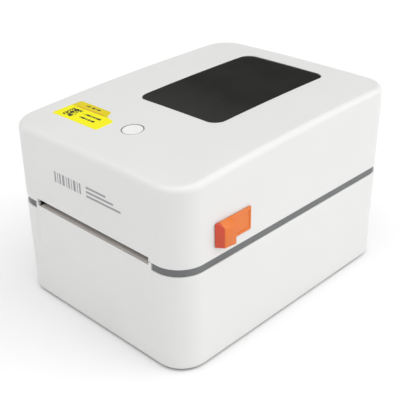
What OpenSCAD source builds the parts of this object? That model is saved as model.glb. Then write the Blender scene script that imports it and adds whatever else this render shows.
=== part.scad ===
// Desktop direct-thermal label printer.
// Millimetres, +Z up. The origin is the centre of the footprint on the surface it stands on,
// the label slot faces -Y and the lid hinge is at +Y.

/* [Case] */
// Width of the case, left to right
case_w = 172; // [165:1:210]
// Depth of the case, front to back
case_d = 228; // [215:1:280]
// Radius of the case's upright corners
corner_r = 21; // [17:0.5:24]
// Thickness of the moulded walls
wall = 2.5; // [2:0.1:3]
// Height of the rubber feet under the case
foot_h = 1.5; // [1:0.1:3]
// Height of the base's white wall
base_h = 73; // [70:0.5:95]

/* [Parting band] */
// Height of the grey band between the base and the lid
band_h = 5.3; // [5:0.1:8]
// How far the band stands back from the white walls
band_inset = 0.9; // [0.4:0.1:1.2]
// Gap between the band and the closed lid
lid_gap = 0.35; // [0.3:0.05:0.6]

/* [Lid] */
// Height of the lid's wall at the front
lid_front_h = 55.4; // [50:0.5:75]
// Height of the lid's wall at the back
lid_back_h = 63.3; // [50:0.5:85]
// Rise of the lid's curved top above a straight line from front to back
lid_crown = 2.5; // [1:0.1:4]
// Rise of the top's centre line above its side edges
lid_camber = 1.3; // [0:0.1:2]
// Radius of the lid's top edge
lid_edge_r = 4; // [3:0.1:6]
// Opening angle of the lid
lid_open = 90; // [60:1:92]

/* [Window] */
// Width of the smoked window
window_w = 79; // [50:1:100]
// Length of the smoked window
window_d = 123; // [60:1:130]
// Radius of the window's corners
window_r = 9; // [4:0.5:15]
// Distance from the case's back to the window
window_back = 22; // [20:1:40]
// Thickness of the window
window_t = 2; // [1.5:0.1:3]
// How far the window lies below the lid's skin
window_sink = 0.3; // [0.2:0.1:1]
// Width of the glued ledge under the lid's skin
window_ledge = 3; // [2:0.5:5]
// Gap round the window
window_gap = 0.25; // [0.1:0.05:0.5]

/* [Label path] */
// Widest label that fits
media_w = 118; // [60:1:120]
// Largest label roll
roll_d = 96; // [60:1:98]
// Space left beside the widest label at the slot
slot_side = 0.8; // [0.5:0.1:2]
// Height of the slot's sill above the base's wall
sill_h = 3; // [2:0.1:5]
// How far the slot is cut up into the lid
slot_lift = 2.85; // [2:0.1:6]
// Width of the white ears beside the slot
ear_w = 2.2; // [1.5:0.1:4]
// Depth of the separate front panel below the base's top edge
panel_drop = 28.5; // [15:0.5:40]
// Radius of the rubber platen
platen_r = 8; // [6:0.1:9]
// Radius of the platen's steel shaft
platen_shaft_r = 3; // [2:0.1:4]
// Distance from the case's front to the platen
platen_back = 18; // [17.5:0.1:24]

/* [Button] */
// Distance from the case's front to the feed button
button_back = 43; // [35:1:55]
// Radius of the button's white cap
button_r = 7.3; // [5:0.1:9]
// Width of the grey ring round the cap
button_ring_w = 0.65; // [0.5:0.05:2]
// How far the button goes down
button_travel = 0.8; // [0.3:0.1:1.5]

/* [Side latches] */
// Length of the orange slide
latch_l = 33.5; // [30:0.5:40]
// Height of the orange slide
latch_h = 17; // [14:0.5:22]
// Distance from the case's front to the slide
latch_back = 31; // [26:0.5:45]
// Height of the slide above the lid's lower edge
latch_up = 7.85; // [6:0.05:20]
// Thickness of the slide's outer plate
latch_t = 1.1; // [0.8:0.1:2]
// How far the finger grip stands out from the wall
grip_out = 7; // [4:0.5:9]
// How far the slide goes forward
latch_travel = 4; // [2:0.5:5]

/* [Drive] */
// Module of the gears
gear_m = 1; // [0.8:0.1:1]
// Teeth on the platen's gear
platen_teeth = 20; // [18:1:20]
// Teeth on the idler's small gear
idler_small_teeth = 14; // [12:1:16]
// Teeth on the idler's large gear
idler_large_teeth = 30; // [24:1:32]
// Teeth on the motor's pinion
motor_teeth = 12; // [10:1:14]
// Width of each gear
gear_w = 4; // [3:0.1:4.5]
// Radius of the stepper motor
motor_r = 17.5; // [12:0.5:18]
// Length of the stepper motor
motor_l = 22; // [15:0.5:30]

/* [Roll guides] */
// Teeth on the centring pinion
centre_teeth = 16; // [14:2:20]
// How far each guide moves in
guide_travel = 39; // [20:1:40]
// Thickness of the guides
guide_t = 3; // [2:0.5:4]
// Radius of the hubs that carry the label core
hub_r = 12; // [9:0.5:14]
// Length of the hubs
hub_l = 8; // [5:0.5:10]

/* [Connections] */
// Width of the data socket
data_w = 12; // [10:0.5:14]
// Height of the data socket
data_h = 11; // [9:0.5:12]
// Width and height of the power jack
jack_w = 11; // [9:0.5:13]
// Radius of the power jack's bore
jack_bore_r = 2.8; // [2.5:0.05:3.2]
// Width of the rocker switch's frame
switch_w = 15; // [13:0.5:20]
// Height of the rocker switch's frame
switch_h = 21; // [18:0.5:26]
// Tilt of the rocker each way
rocker_tilt = 8; // [5:0.5:10]

/* [Hidden] */
$fn = 48;
cut = 0.5;             // how far a cutter runs past the face it cuts
clear = 0.3;           // gap between parts that move past each other
run = 0.05;            // radial clearance of a shaft in its bore
seat_gap = 0.2;        // gap round a part that drops into another

// heights
base_z = foot_h;
base_top = base_z + base_h;
band_top = base_top + band_h;
lid_z = band_top + lid_gap;
deck_t = 2.5;
deck_z = base_top - 2.5;
// plan
half_w = case_w / 2;
half_d = case_d / 2;
inner_w = half_w - wall;
inner_d = half_d - wall;
rim_in = 4.2;          // how far the chassis rim's inner face lies inside the case's outside

// label path
slot_w = media_w - 2 * slot_side;
panel_w = slot_w + 2 * ear_w;
sill_z = base_top + sill_h;
bar_t = 1;             // thickness of the tear bar
bar_sink = 0.2;        // how far the tear bar lies below the sill
bar_seat_z = sill_z - bar_sink - bar_t;
lip_t = 0.8;           // thickness of the panel's lip in front of the tear bar
path_z = base_top + 5;
platen_y = -half_d + platen_back;
platen_z = path_z - platen_r;
platen_half = media_w / 2 + 0.5;
shaft_past = 1.2;      // how far the platen's shaft reaches past the right-hand cheek

// roll bay
bay_half = media_w / 2 + 7;
bay_front = -half_d + 54;
bay_back = half_d - 24;
bay_y = (bay_front + bay_back) / 2;
floor_z = base_z + 8.5;
floor_t = 2;
rack_h = 4.5;
cover_z = floor_z + clear + rack_h + clear;
cover_t = 1.5;
hub_z = cover_z + cover_t + roll_d / 2 + 1;

// hinge
knuckle_r = 3.2;
pin_r = 1.5;
hinge_y = half_d - knuckle_r - 0.2;
hinge_z = lid_z + knuckle_r + 0.8;
base_knuckle_x = 60.5;
base_knuckle_w = 4;
lid_knuckle_w = 4.7;
hinge_dip = 1.3;       // how far the rim is cut down where the lid's back edge swings past it

// gears
press_angle = 25;
gear_backlash = 0.24;
cheek_in = platen_half + 3.5;
cheek_t = 3;
plate_t = 1.5;
plate_x = -(cheek_in + cheek_t);
stage_a = plate_x - plate_t - 0.5;
stage_b = stage_a - gear_w - 1;
idler_angle = -60;
motor_angle = -90;
platen_gear_r = gear_m * platen_teeth / 2;
small_r = gear_m * idler_small_teeth / 2;
large_r = gear_m * idler_large_teeth / 2;
pinion_r = gear_m * motor_teeth / 2;
idler_y = platen_y + (platen_gear_r + small_r) * cos(idler_angle);
idler_z = platen_z + (platen_gear_r + small_r) * sin(idler_angle);
motor_y = idler_y + (large_r + pinion_r) * cos(motor_angle);
motor_z = idler_z + (large_r + pinion_r) * sin(motor_angle);
stud_r = 2;
motor_shaft_r = 1.5;
centre_r = gear_m * centre_teeth / 2;
pitch = PI * gear_m;

// latches
latch_y0 = -half_d + latch_back;
latch_z0 = lid_z + latch_up;
grip_slope = 4;        // how far the grip's top falls towards its outer face
stem_y0 = latch_y0 + 7;
stem_l = 12;
stem_h = 7;
carriage_y0 = stem_y0 - 2;
carriage_l = stem_l + 6;
carriage_x0 = inner_w - 5.1;
hook_t = 2.4;
hook_y0 = carriage_y0 + 6;
hook_l = 6;
toe_l = 5;
toe_z = deck_z - deck_t - 3.5;
leaf_t = 0.5;

// print head
head_y = platen_y;
head_z = path_z + 0.4;
pivot_y = head_y + 16;
pivot_z = head_z + 13.1;
pivot_r = 2;
mount_z = pivot_z + 11;
mount_t = 2;
cheek_x = media_w / 2 + 4;

// back wall
board_y = half_d - 18;
board_t = 1.6;
socket_z = base_z + 22;
data_x = -12;
jack_x = 34;
switch_x = -48;
switch_z = socket_z + 6;

/* ---- shared shapes ---- */

// The case's outline, drawn in by a distance.
module plan(in = 0) {
    w = case_w - 2 * in;
    d = case_d - 2 * in;
    r = corner_r - in;
    square([w - 2 * r, d], center = true);
    square([w, d - 2 * r], center = true);
    for (sx = [-1, 1], sy = [-1, 1])
        translate([sx * (w / 2 - r), sy * (d / 2 - r)]) circle(r);
}

// A rectangle with round corners.
module rounded(w, d, r) {
    square([w - 2 * r, d], center = true);
    square([w, d - 2 * r], center = true);
    for (sx = [-1, 1], sy = [-1, 1])
        translate([sx * (w / 2 - r), sy * (d / 2 - r)]) circle(r);
}

// Turns a shape drawn in X and Y and raised along Z to stand in Y and Z, raised along X.
module along_x(x = 0) {
    translate([x, 0, 0]) rotate([90, 0, 90]) children();
}

// A block given by its lowest and highest corners.
module block(low, high) {
    translate(low) cube(high - low);
}

module both_sides() {
    for (s = [0, 1]) mirror([s, 0, 0]) children();
}

// Height of the lid's top along its centre line.
function top_at(y) = lid_z + lid_front_h + (lid_back_h - lid_front_h) * (y + half_d) / case_d
    + lid_crown * (1 - pow(y / half_d, 2)) + lid_camber;

// Outline of the lid in Y and Z, drawn in by a distance: the arched top, the front and back edges rounded.
function lid_outline(in, steps = 14) = let (
        r = max(lid_edge_r - in, 0.5),
        y1 = half_d - in,
        top = [for (i = [0 : steps]) let (y = -y1 + r + 2 * (y1 - r) * i / steps) [y, top_at(y) - in]],
        front = [for (a = [0 : 22.5 : 67.5])
            [-y1 + r * (1 - cos(a)), top_at(-y1 + r) - in - r * (1 - sin(a))]],
        back = [for (a = [67.5 : -22.5 : 0])
            [y1 - r * (1 - cos(a)), top_at(y1 - r) - in - r * (1 - sin(a))]]
    ) concat([[-y1, 0]], front, top, back, [[y1, 0]]);

// The volume under the lid's arched top.
module under_top(in = 0) {
    along_x(-half_w) linear_extrude(case_w) polygon(lid_outline(in));
}

// The volume between the side walls, its top edges rounded along the lid's slope.
module side_edges(in = 0) {
    r = lid_edge_r + 2 - in;
    w = half_w - in;
    slope = atan((lid_back_h - lid_front_h) / case_d);
    mid = top_at(0) - in;
    arc = [for (a = [0 : 22.5 : 90]) [w - r * (1 - cos(a)), mid - r * (1 - sin(a))]];
    left = [for (i = [len(arc) - 1 : -1 : 0]) [-arc[i][0], arc[i][1]]];
    rotate([slope, 0, 0]) translate([0, case_d * 0.7, 0]) rotate([90, 0, 0])
        linear_extrude(case_d * 1.4) polygon(concat([[w, -20]], arc, left, [[-w, -20]]));
}

module lid_volume(in = 0) {
    intersection() {
        translate([0, 0, lid_z - (in > 0 ? cut : 0)]) linear_extrude(lid_back_h + 20) plan(in);
        under_top(in);
        side_edges(in);
    }
}

// A skin that follows the lid's top, from one depth to another below it.
module top_skin(from, to) {
    difference() {
        translate([0, 0, -from]) under_top();
        translate([0, 0, -to]) scale([1.01, 1, 1]) under_top();
    }
}

// One tooth's half angle at a radius, in degrees.
function involute(a) = tan(a) - a * PI / 180;
function half_tooth(r, teeth, pitch_r) = let (
        base_r = pitch_r * cos(press_angle),
        a = r > base_r ? acos(base_r / r) : 0,
        at_pitch = 90 / teeth - gear_backlash / 4 / pitch_r * 180 / PI
    ) at_pitch + (involute(press_angle) - involute(a)) * 180 / PI;

// An involute gear's outline with a tooth centred on +X.
function gear_points(teeth) = let (
        r = gear_m * teeth / 2,
        radii = [for (k = [0 : 4]) r - 1.05 * gear_m + k * 1.85 * gear_m / 4]
    ) [for (i = [0 : teeth - 1], side = [-1, 1], k = [0 : 4])
        let (q = radii[side < 0 ? k : 4 - k], a = i * 360 / teeth + side * half_tooth(q, teeth, r))
        q * [cos(a), sin(a)]];

module gear(teeth, bore, width, turn = 0) {
    linear_extrude(width) difference() {
        rotate(turn) polygon(gear_points(teeth));
        circle(bore);
    }
}

// A rack's teeth along X, pointing +Y, with a gap centred on X = 0.
module rack(x0, x1, width) {
    half = pitch / 4 - gear_backlash / 4;
    lean = tan(press_angle) * gear_m;
    first = ceil((x0 + pitch) / pitch);
    last = floor((x1 - pitch) / pitch);
    linear_extrude(width) {
        translate([x0, -5.05 * gear_m]) square([x1 - x0, 4 * gear_m]);
        for (i = [first : last]) translate([(i + 0.5) * pitch, 0])
            polygon([[-half - lean * 1.05, -1.05 * gear_m - 0.01],
                     [half + lean * 1.05, -1.05 * gear_m - 0.01],
                     [half - lean * 0.8, 0.8 * gear_m], [-half + lean * 0.8, 0.8 * gear_m]]);
    }
}

// A coil spring along Z, as one closed tube of six sides.
module coil(r, wire, length, turns) {
    ring = 6;
    per_turn = 12;
    n = turns * per_turn;
    points = [for (i = [0 : n], k = [0 : ring - 1]) let (
            a = i * 360 / per_turn,
            b = k * 360 / ring,
            q = r + wire * cos(b)
        ) [q * cos(a), q * sin(a), wire + (length - 2 * wire) * i / n + wire * sin(b)]];
    sides = [for (i = [0 : n - 1], k = [0 : ring - 1]) let (j = (k + 1) % ring)
        [i * ring + k, i * ring + j, (i + 1) * ring + j, (i + 1) * ring + k]];
    first = [for (k = [ring - 1 : -1 : 0]) k];
    last = [for (k = [0 : ring - 1]) n * ring + k];
    polyhedron(points, concat([first], sides, [last]), convexity = 10);
}

/* ---- base ---- */

boss_x = inner_w - 8;
boss_r = 4;
boss_ys = [bay_front + 18, bay_back - 10];
screw_r = 1.5;
screw_head_r = 2.8;

// Places a child at each of the four case screws.
module at_screws() {
    for (sx = [-1, 1], y = boss_ys) translate([sx * boss_x, y, 0]) children();
}

cover_seat_z = base_z + 2;

module base_housing() {
    color("white") difference() {
        union() {
            difference() {
                translate([0, 0, base_z]) linear_extrude(base_h) plan();
                translate([0, 0, base_z - cut]) linear_extrude(base_h + 2 * cut) plan(wall);
            }
            // bosses for the case screws, each on a rib from the side wall
            at_screws() translate([0, 0, cover_seat_z])
                cylinder(r = boss_r, h = deck_z - deck_t - cover_seat_z);
            both_sides() for (y = boss_ys)
                block([boss_x, y - 1, cover_seat_z], [inner_w + cut, y + 1, deck_z - deck_t]);
        }
        at_screws() translate([0, 0, base_z]) cylinder(r = screw_r, h = 16);
        // opening for the front panel
        block([-panel_w / 2 - 0.1, -half_d - cut, base_top - panel_drop - 0.1],
              [panel_w / 2 + 0.1, -inner_d + cut, base_top + cut]);
        // fan-fold entry at the back
        block([-slot_w / 2, inner_d - cut, deck_z], [slot_w / 2, half_d + cut, base_top + cut]);
        // cut-outs for the sockets and the switch
        block([data_x - data_w / 2 - seat_gap, inner_d - cut, socket_z - data_h / 2 - seat_gap],
              [data_x + data_w / 2 + seat_gap, half_d + cut, socket_z + data_h / 2 + seat_gap]);
        block([jack_x - jack_w / 2 - seat_gap, inner_d - cut, socket_z - jack_w / 2 - seat_gap],
              [jack_x + jack_w / 2 + seat_gap, half_d + cut, socket_z + jack_w / 2 + seat_gap]);
        block([switch_x - switch_w / 2 + 1, inner_d - cut, switch_z - switch_h / 2 + 1],
              [switch_x + switch_w / 2 - 1, half_d + cut, switch_z + switch_h / 2 - 1]);
        // shallow rest for the switch's rim
        block([switch_x - switch_w / 2 - 0.1, half_d - 1, switch_z - switch_h / 2 - 0.1],
              [switch_x + switch_w / 2 + 0.1, half_d + cut, switch_z + switch_h / 2 + 0.1]);
    }
}

// The flush panel below the slot.
module front_panel() {
    color("white") {
        block([-panel_w / 2, -half_d, base_top - panel_drop], [panel_w / 2, -inner_d, bar_seat_z]);
        // thin lip in front of the tear bar
        block([-panel_w / 2, -half_d, bar_seat_z], [panel_w / 2, -half_d + lip_t, sill_z]);
        block([-panel_w / 2 - 3, -inner_d, base_top - panel_drop - 4],
              [panel_w / 2 + 3, -inner_d + 1.5, deck_z - deck_t - clear]);
    }
}

// The white ears beside the slot, which stand on the panel and fill the band's height.
module front_ears() {
    color("white") both_sides() {
        block([slot_w / 2, -half_d, sill_z], [panel_w / 2, -inner_d, band_top]);
        block([slot_w / 2, -half_d + lip_t, bar_seat_z], [panel_w / 2, -inner_d, sill_z]);
    }
}

module bottom_cover() {
    color("dimgray") difference() {
        translate([0, 0, base_z]) linear_extrude(2) plan(wall + seat_gap);
        at_screws() {
            translate([0, 0, base_z - cut]) cylinder(r = screw_r + 0.2, h = 3);
            translate([0, 0, base_z - cut]) cylinder(r = screw_head_r + 0.2, h = cut + 1.2);
        }
        // cooling slots
        for (i = [-6 : 6]) translate([i * 7, bay_front - 22, base_z - cut]) linear_extrude(3)
            square([2.5, 26], center = true);
    }
}

foot_r = 8;
foot_in = 20;          // distance of each foot's centre from the case's sides

module rubber_feet() {
    color("black") for (sx = [-1, 1], sy = [-1, 1])
        translate([sx * (half_w - foot_in), sy * (half_d - foot_in), 0]) {
            cylinder(r1 = foot_r - 0.5, r2 = foot_r, h = 0.5);
            translate([0, 0, 0.5]) cylinder(r = foot_r, h = foot_h - 0.5);
        }
}

module case_screws() {
    color("silver") at_screws() {
        difference() {
            translate([0, 0, base_z + 0.2]) cylinder(r = screw_head_r, h = 1);
            translate([0, 0, base_z]) linear_extrude(0.8) {
                square([3.2, 0.7], center = true);
                square([0.7, 3.2], center = true);
            }
        }
        translate([0, 0, base_z + 1.2]) cylinder(r = screw_r, h = 12);
    }
}

hook_slot_y0 = hook_y0 - latch_travel - 1;
hook_slot_y1 = hook_y0 + hook_l + toe_l + 1;

// The grey middle frame: the rim that shows as the band, the deck, the roll bay
// and the hinge's fixed knuckles.
module chassis() {
    color("gray") difference() {
        union() {
            // band rim, standing on the base's wall
            translate([0, 0, base_top]) linear_extrude(band_h) difference() {
                plan(band_inset);
                plan(rim_in);
            }
            translate([0, 0, deck_z - deck_t]) linear_extrude(base_top - deck_z + deck_t) difference() {
                plan(wall + seat_gap);
                plan(rim_in);
            }
            translate([0, 0, deck_z - deck_t]) linear_extrude(deck_t) plan(wall + seat_gap);
            // roll bay
            block([-bay_half - 2, bay_front - 2, floor_z - floor_t], [bay_half + 2, bay_back + 2, deck_z]);
            // cheeks for the platen's bushings
            both_sides() block([cheek_in, platen_y - 8, platen_z - 11],
                               [cheek_in + cheek_t, platen_y + 8, path_z]);
            // fixed knuckles of the hinge
            both_sides() {
                block([base_knuckle_x, hinge_y - knuckle_r, deck_z],
                      [base_knuckle_x + base_knuckle_w, inner_d - seat_gap, hinge_z]);
                block([base_knuckle_x, hinge_y, base_top],
                      [base_knuckle_x + base_knuckle_w, half_d - band_inset, hinge_z]);
                along_x(base_knuckle_x) translate([hinge_y, hinge_z])
                    cylinder(r = knuckle_r, h = base_knuckle_w);
            }
        }
        block([-bay_half, bay_front, floor_z], [bay_half, bay_back, deck_z + cut]);
        // front trough for the platen, open to the front panel
        block([-cheek_in, -half_d + rim_in, platen_z - 11.5], [cheek_in, platen_y + 10, band_top + cut]);
        block([-panel_w / 2 - seat_gap, -half_d, platen_z - 11.5],
              [panel_w / 2 + seat_gap, -half_d + rim_in + cut, band_top + cut]);
        // space for the gears beside the left cheek
        block([stage_b - gear_w - 0.6, platen_y - 11.7, deck_z - deck_t - cut],
              [plate_x, idler_y + large_r + 2, deck_z + cut]);
        // slots for the latch hooks
        both_sides() block([carriage_x0 - 1, hook_slot_y0, deck_z - deck_t - cut],
                           [half_w - rim_in, hook_slot_y1, deck_z + cut]);
        // bushing seats
        both_sides() along_x(cheek_in - cut) translate([platen_y, platen_z])
            cylinder(r = 5, h = cheek_t + shaft_past + clear + cut);
        // fan-fold entry
        block([-slot_w / 2, bay_back + 2, deck_z], [slot_w / 2, half_d, band_top - hinge_dip - 0.2]);
        // lowered rim that the lid's back edge swings past
        block([-half_w + 7, hinge_y - 6, band_top - hinge_dip],
              [-base_knuckle_x - base_knuckle_w, half_d, band_top + cut]);
        block([base_knuckle_x + base_knuckle_w, hinge_y - 6, band_top - hinge_dip],
              [half_w - 7, half_d, band_top + cut]);
        block([-base_knuckle_x, hinge_y - 6, band_top - hinge_dip], [base_knuckle_x, half_d, band_top + cut]);
        both_sides() along_x(base_knuckle_x - cut) translate([hinge_y, hinge_z])
            cylinder(r = pin_r, h = base_knuckle_w + 2 * cut);
    }
    // post for the centring pinion
    color("gray") translate([0, bay_y, floor_z]) cylinder(r = 3, h = cover_z - floor_z);
}

module hinge_pins() {
    color("silver") both_sides() along_x(base_knuckle_x - 0.2) translate([hinge_y, hinge_z])
        cylinder(r = pin_r, h = base_knuckle_w + clear + lid_knuckle_w + 0.4);
}

// Steel tear bar: a flat strip on the front panel's top with a serrated front edge,
// and a flange behind the panel.
module tear_bar() {
    tooth = 1.2;
    tooth_h = 0.7;
    n = floor((slot_w - 2) / tooth);
    front = -half_d + lip_t + 0.2;
    back = platen_y - platen_r + 0.4;
    color("silver") {
        translate([-n * tooth / 2, 0, bar_seat_z]) linear_extrude(bar_t) polygon(concat(
            [for (i = [0 : 2 * n]) [i * tooth / 2, front + (i % 2 == 0 ? tooth_h : 0)]],
            [[n * tooth, back], [0, back]]));
        block([-n * tooth / 2, -inner_d + 0.4, bar_seat_z - 4], [n * tooth / 2, -inner_d + 1.2, bar_seat_z]);
    }
}

// Spring-steel leaves that the latch hooks catch under, one at each side.
module catch_leaves() {
    color("silver") both_sides()
        block([carriage_x0 - 0.7, hook_y0 + hook_l + 1, deck_z - deck_t - leaf_t],
              [half_w - rim_in - 0.2, hook_slot_y1 + 9, deck_z - deck_t]);
}

// Arched plate that carries the labels from the bay to the platen.
module paper_guide() {
    y0 = platen_y + 10.5;
    y1 = bay_front - 3;
    color("dimgray") {
        block([-media_w / 2 - 1, y0, path_z - 2.5], [media_w / 2 + 1, y1, path_z - 1]);
        both_sides() block([media_w / 2 - 2, y0, deck_z], [media_w / 2 + 1, y1, path_z - 2.5]);
        for (x = [-30, 0, 30]) block([x - 1, y0, deck_z], [x + 1, y1, path_z - 2.5]);
    }
}

module label_sensor() {
    y0 = platen_y + 13;
    color("black") {
        block([6, y0, path_z - 1], [18, y0 + 8, path_z - 0.2]);
        block([10, y0 + 2, deck_z], [14, y0 + 6, path_z - 2.5]);
    }
}

/* ---- platen and drive ---- */

module platen_roller() {
    color([0.12, 0.12, 0.13]) along_x(-platen_half) translate([platen_y, platen_z]) difference() {
        cylinder(r = platen_r, h = 2 * platen_half);
        translate([0, 0, -cut]) cylinder(r = platen_shaft_r, h = 2 * platen_half + 2 * cut);
    }
}

module platen_shaft() {
    end = cheek_in + cheek_t + shaft_past;
    color("silver") along_x(stage_a - gear_w - 1) translate([platen_y, platen_z])
        cylinder(r = platen_shaft_r, h = end - stage_a + gear_w + 1);
}

module platen_bushings() {
    color("ivory") both_sides() along_x(cheek_in - 1) translate([platen_y, platen_z]) difference() {
        union() {
            cylinder(r = 5, h = cheek_t + 1);
            cylinder(r = 6.2, h = 1);
        }
        translate([0, 0, -cut]) cylinder(r = platen_shaft_r + run, h = cheek_t + 1 + 2 * cut);
    }
}

module platen_gear() {
    color("ivory") along_x(stage_a - gear_w) translate([platen_y, platen_z])
        gear(platen_teeth, platen_shaft_r, gear_w, idler_angle);
}

module gear_plate() {
    color("silver") along_x(plate_x - plate_t) linear_extrude(plate_t) difference() {
        translate([motor_y - 18.5, motor_z - 18.5]) square([37, idler_z + 7 - motor_z + 18.5]);
        translate([motor_y, motor_z]) circle(5);
        translate([idler_y, idler_z]) circle(stud_r);
    }
}

module idler_stud() {
    length = plate_t + 0.5 + 2 * gear_w + 1;
    color("silver") along_x(stage_b - gear_w - 0.9) translate([idler_y, idler_z]) {
        cylinder(r = stud_r, h = length + 0.9);
        cylinder(r = 3.2, h = 0.6);
    }
}

module idler_gear() {
    color("ivory") translate([0, idler_y, idler_z]) {
        along_x(stage_a - gear_w)
            gear(idler_small_teeth, stud_r + run, gear_w, idler_angle + 180 + 180 / idler_small_teeth);
        along_x(stage_b - gear_w) gear(idler_large_teeth, stud_r + run, gear_w, motor_angle);
        along_x(stage_b) linear_extrude(stage_a - gear_w - stage_b) difference() {
            circle(small_r - 1.1 * gear_m);
            circle(stud_r + run);
        }
    }
}

module stepper_motor() {
    color("silver") along_x(plate_x) translate([motor_y, motor_z]) difference() {
        union() {
            cylinder(r = motor_r, h = motor_l);
            // wiring block
            translate([-8, motor_r - 3, 6]) cube([16, 5, 10]);
        }
        translate([0, 0, -cut]) cylinder(r = motor_shaft_r + run, h = motor_l - 3 + cut);
    }
}

module motor_shaft() {
    color("silver") along_x(stage_b - gear_w - 0.5) translate([motor_y, motor_z])
        cylinder(r = motor_shaft_r, h = plate_x - stage_b + gear_w + 0.5 + motor_l - 4);
}

module motor_pinion() {
    color("goldenrod") along_x(stage_b - gear_w) translate([motor_y, motor_z])
        gear(motor_teeth, motor_shaft_r, gear_w, motor_angle + 180 + 180 / motor_teeth);
}

/* ---- roll guides ---- */

guide_x = media_w / 2 + 0.8;
rack_y = centre_r;

// The left guide at its widest: an upright plate with a hub stud and a rack that reaches past the pinion.
module guide() {
    stud = 3;
    color("dimgray") {
        difference() {
            along_x(-guide_x - guide_t) linear_extrude(guide_t) {
                translate([bay_y, hub_z]) circle(26);
                polygon([[bay_y - 34, cover_z + cover_t + clear], [bay_y + 34, cover_z + cover_t + clear],
                         [bay_y + 22, hub_z + 10], [bay_y - 22, hub_z + 10]]);
            }
            // open lower part
            along_x(-guide_x - guide_t - cut) linear_extrude(guide_t + 2 * cut) polygon([
                [bay_y - 22, cover_z + cover_t + 8], [bay_y + 22, cover_z + cover_t + 8],
                [bay_y + 12, hub_z - 22], [bay_y - 12, hub_z - 22]]);
        }
        along_x(-guide_x) translate([bay_y, hub_z]) cylinder(r = stud, h = hub_l - 0.5);
        // neck through the cover's slot, and the rack under the cover
        block([-guide_x - guide_t, bay_y - rack_y - 5, floor_z + clear],
              [-guide_x, bay_y - rack_y - 1.2, cover_z + cover_t + clear + 0.5]);
        translate([0, bay_y - rack_y, floor_z + clear]) rack(-guide_x - guide_t, 2.5 * pitch, rack_h);
    }
}

module guide_left() { guide(); }
module guide_right() { translate([0, 2 * bay_y, 0]) rotate([0, 0, 180]) guide(); }

module guide_hub() {
    color("ivory") along_x(-guide_x + clear) translate([bay_y, hub_z]) difference() {
        union() {
            cylinder(r = hub_r + 4, h = 1.5);
            cylinder(r = hub_r, h = hub_l - 1);
            translate([0, 0, hub_l - 1]) cylinder(r1 = hub_r, r2 = hub_r - 1, h = 1);
        }
        translate([0, 0, -cut]) cylinder(r = 3 + run, h = hub_l - 0.4 + cut);
    }
}

module guide_hub_left() { guide_hub(); }
module guide_hub_right() { translate([0, 2 * bay_y, 0]) rotate([0, 0, 180]) guide_hub(); }

module guide_pinion() {
    color("ivory") translate([0, bay_y, floor_z + clear]) gear(centre_teeth, 3 + run, rack_h);
}

module guide_rail_cover() {
    neck0 = -rack_y - 5 - clear;
    neck1 = -rack_y - 1.2 + clear;
    depth = rack_y + 5 + 6;
    color("gray") translate([0, bay_y, 0]) difference() {
        union() {
            block([-bay_half + 0.2, -depth, cover_z], [bay_half - 0.2, depth, cover_z + cover_t]);
            for (s = [0, 1]) rotate([0, 0, 180 * s])
                block([-bay_half + 0.2, -depth, floor_z], [bay_half - 0.2, -depth + 3, cover_z]);
        }
        for (s = [0, 1]) rotate([0, 0, 180 * s])
            block([-guide_x - guide_t - clear, neck0, cover_z - cut],
                  [-guide_x + guide_travel + clear + 0.2, neck1, cover_z + cover_t + cut]);
    }
}

/* ---- electronics ---- */

module main_board() {
    w = 150;
    top = deck_z - deck_t - 6;
    low = cover_seat_z + 6;
    color("seagreen") block([-w / 2, board_y - board_t, low], [w / 2, board_y, top]);
    color([0.1, 0.1, 0.11]) {
        block([-6, board_y, low + 30], [8, board_y + 1.4, low + 44]);
        block([18, board_y, low + 32], [27, board_y + 1.2, low + 40]);
        block([-34, board_y, low + 34], [-24, board_y + 1.2, low + 41]);
    }
    color("ivory") for (x = [-68, 48, 60]) block([x, board_y, low + 24], [x + 9, board_y + 6, low + 30]);
    color("dimgray") for (x = [54, 66]) translate([x, board_y, low + 12]) rotate([-90, 0, 0])
        cylinder(r = 4, h = 11);
}

module data_socket() {
    y0 = board_y;
    y1 = half_d - 0.3;
    color("silver") translate([data_x, 0, socket_z]) difference() {
        block([-data_w / 2, y0, -data_h / 2], [data_w / 2, y1, data_h / 2]);
        block([-data_w / 2 + 1.6, y1 - 9, -data_h / 2 + 1.6], [data_w / 2 - 1.6, y1 + cut, data_h / 2 - 1.6]);
    }
}

module power_jack() {
    y0 = board_y;
    y1 = half_d - 0.3;
    color("black") translate([jack_x, 0, socket_z]) {
        difference() {
            block([-jack_w / 2, y0, -jack_w / 2], [jack_w / 2, y1, jack_w / 2]);
            translate([0, y1 + cut, 0]) rotate([90, 0, 0]) cylinder(r = jack_bore_r, h = 9 + cut);
        }
        translate([0, y1 - 0.8, 0]) rotate([90, 0, 0]) cylinder(r = 1, h = 8.7);
    }
}

rocker_y = half_d - 3.2;
rocker_pin_r = 1;
rocker_pin_l = 1;      // how far each pivot pin stands out from the rocker's side

module switch_frame() {
    color("black") translate([switch_x, 0, switch_z]) difference() {
        union() {
            block([-switch_w / 2, half_d - 1, -switch_h / 2], [switch_w / 2, half_d - 0.1, switch_h / 2]);
            block([-switch_w / 2 + 1.1, half_d - 13, -switch_h / 2 + 1.1],
                  [switch_w / 2 - 1.1, half_d - 1, switch_h / 2 - 1.1]);
        }
        block([-switch_w / 2 + 2.2, half_d - 8, -switch_h / 2 + 2.2],
              [switch_w / 2 - 2.2, half_d + cut, switch_h / 2 - 2.2]);
        along_x(-switch_w / 2 + 1.4) translate([rocker_y, 0])
            cylinder(r = rocker_pin_r + run, h = switch_w - 2.8);
    }
}

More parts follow.
